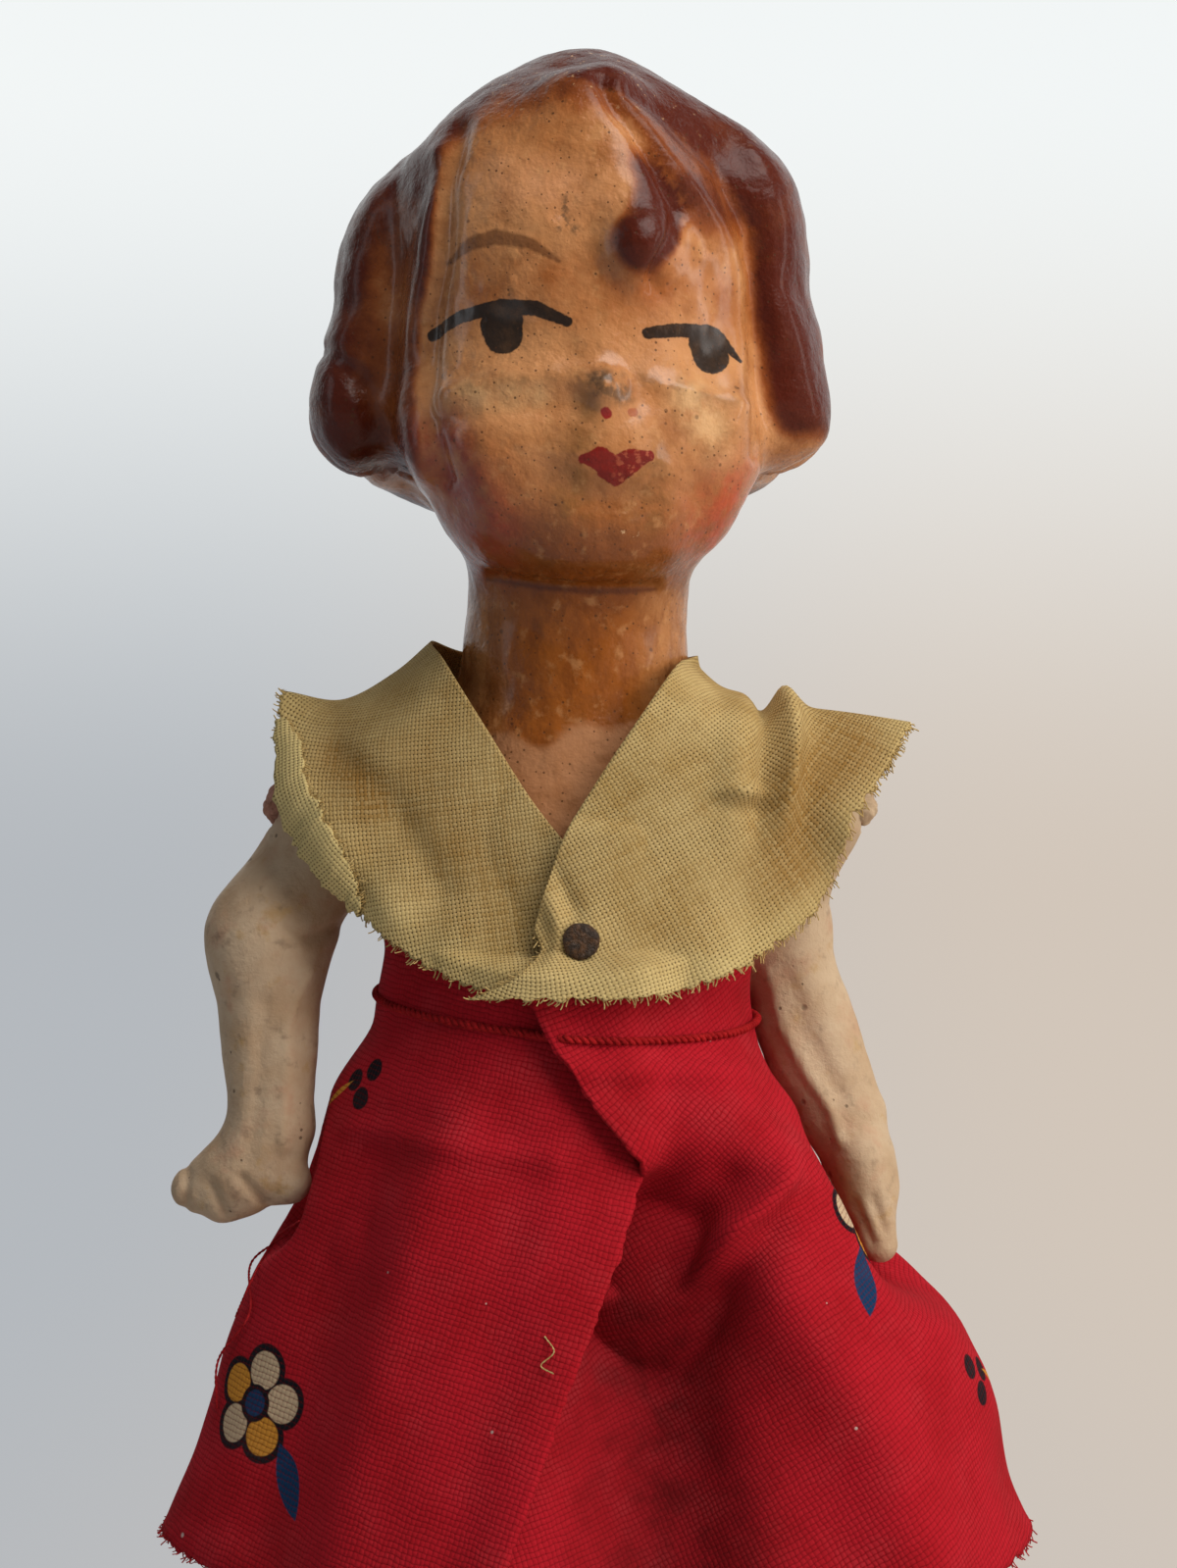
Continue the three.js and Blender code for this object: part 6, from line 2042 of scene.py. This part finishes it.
for side, word in ((-1, "right"), (1, "left")):
    collar = collar_right if side < 0 else collar_left
    turned_over = [collar_roll, fringes["collar_roll"]] if side < 0 else []
    for piece in [collar, fringes["collar_" + word]] + turned_over:
        bend(piece)
    skirt = skirt_right if side < 0 else skirt_left
    for piece in [skirt, fringes["skirt_" + word]] + (loose if side < 0 else []):
        bend(piece)
for piece, node, slot_name in (
    (collar_right, "collar_right", "muslin"),
    (collar_left, "collar_left", "muslin"),
    (skirt_right, "skirt_right", "printed_cotton"),
    (skirt_left, "skirt_left", "printed_cotton"),
):
    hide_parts(node)

# %% Sheets
for piece, cut, area, held, resting, on_it in (
    (
        collar_right, right_cut, right_area, "draped", ["body_front_shell", "right_arm"],
        ["collar_right", "collar_roll"]
    ),
    (collar_left, left_cut, left_area, "draped", ["body_front_shell", "left_arm"], ["collar_left"]),
    (
        skirt_right, skirt_right_cut, skirt_right_area, "hung", ["body_front_shell", "waist_cord"],
        ["skirt_right"]
    ),
    (skirt_left, skirt_left_cut, skirt_left_area, "hung", ["body_front_shell", "waist_cord"], ["skirt_left"]),
):
    print(piece.name, "cut", [round(float(c) * 1000) for c in cut], "mm, area", round(area * 1e6), "mm2")

# %% [markdown]
# ## Stage
# A plain pale floor runs up into a pale wall behind. Its colour carries painted light: it drifts from near
# white at the top to a cool grey on the left and a warm one on the right, as in the photograph, and away from
# the doll it glows.

# %% Floor and wall
BEND_RADIUS, WALL_AT, STAGE_HALF, WALL_TOP = 0.5, 1.25, 3.0, 2.6
PALE_ROOM = (0.89, 0.92, 0.92)
profile = [(-STAGE_HALF, 0.0), (-1.0, 0.0), (WALL_AT - BEND_RADIUS, 0.0)]
for i in range(1, 13):
    a = math.pi / 2 * i / 12
    profile.append((WALL_AT - BEND_RADIUS + BEND_RADIUS * math.sin(a), BEND_RADIUS * (1 - math.cos(a))))
profile.append((WALL_AT, WALL_TOP))
stage_points = [(side * STAGE_HALF, y, z) for y, z in profile for side in (-1, 1)]
stage_faces = [(2 * i, 2 * i + 1, 2 * i + 3, 2 * i + 2) for i in range(len(profile) - 1)]
backdrop = smooth_mesh("backdrop", np.array(stage_points), stage_faces, in_frame=True)
pale = bpy.data.materials.new("pale_paper")
pale.use_nodes = True
wires = Wiring(pale.node_tree)
at = wires.put("ShaderNodeTexCoord").outputs["Object"]
spread = xyz(at)
# Painted light: a cool grey on the left, a warm one on the right, near white upwards and far off.
painted_backdrop_light = mix(fade(spread[0], -0.26, 0.26), (0.46, 0.485, 0.515), (0.645, 0.565, 0.49))
on_floor = wires.put("ShaderNodeCombineXYZ", {0: spread[0], 1: spread[1]}).outputs[0]
from_doll = vector("LENGTH", on_floor)
paler = most(fade(spread[2], 0.13, 0.64), fade(from_doll, 1.4, 2.8))
painted_backdrop_light = mix(paler, painted_backdrop_light, PALE_ROOM)
pale_shader = pale.node_tree.nodes["Principled BSDF"]
wires.link(painted_backdrop_light, pale_shader.inputs["Base Color"])
pale_shader.inputs["Roughness"].default_value = 0.9
# Near the doll the paper takes its shadow; farther off, for the camera and in reflections, it glows with this
# painted light instead of being lit.
far_off = fade(from_doll, 0.16, 0.34)
ray = wires.put("ShaderNodeLightPath").outputs
seen = most(ray["Is Camera Ray"], ray["Is Glossy Ray"])
seen = most(seen, ray["Is Transmission Ray"])
glow = wires.put("ShaderNodeEmission", {"Color": painted_backdrop_light})
paper_mix = wires.put("ShaderNodeMixShader", {0: times(seen, far_off)})
wires.link(pale_shader.outputs[0], paper_mix.inputs[1])
wires.link(glow.outputs[0], paper_mix.inputs[2])
wires.link(paper_mix.outputs[0], pale.node_tree.nodes["Material Output"].inputs["Surface"])
backdrop.data.materials.append(pale)
print("backdrop faces:", len(stage_faces))

# %% The room past the paper
# It is seen as pale as the paper's far end, while it lights the doll, and is mirrored, only weakly.
wires = Wiring(world.node_tree)
room_seen = wires.put("ShaderNodeBackground", {"Color": (*PALE_ROOM, 1)})
ray = wires.put("ShaderNodeLightPath").outputs
direct = most(ray["Is Camera Ray"], ray["Is Transmission Ray"])
mirrored = times(ray["Is Glossy Ray"], 0.12)
room_mix = wires.put("ShaderNodeMixShader", {0: most(direct, mirrored)})
wires.link(room_light.outputs[0], room_mix.inputs[1])
wires.link(room_seen.outputs[0], room_mix.inputs[2])
wires.link(room_mix.outputs[0], world.node_tree.nodes["World Output"].inputs["Surface"])
print("room nodes:", len(world.node_tree.nodes))
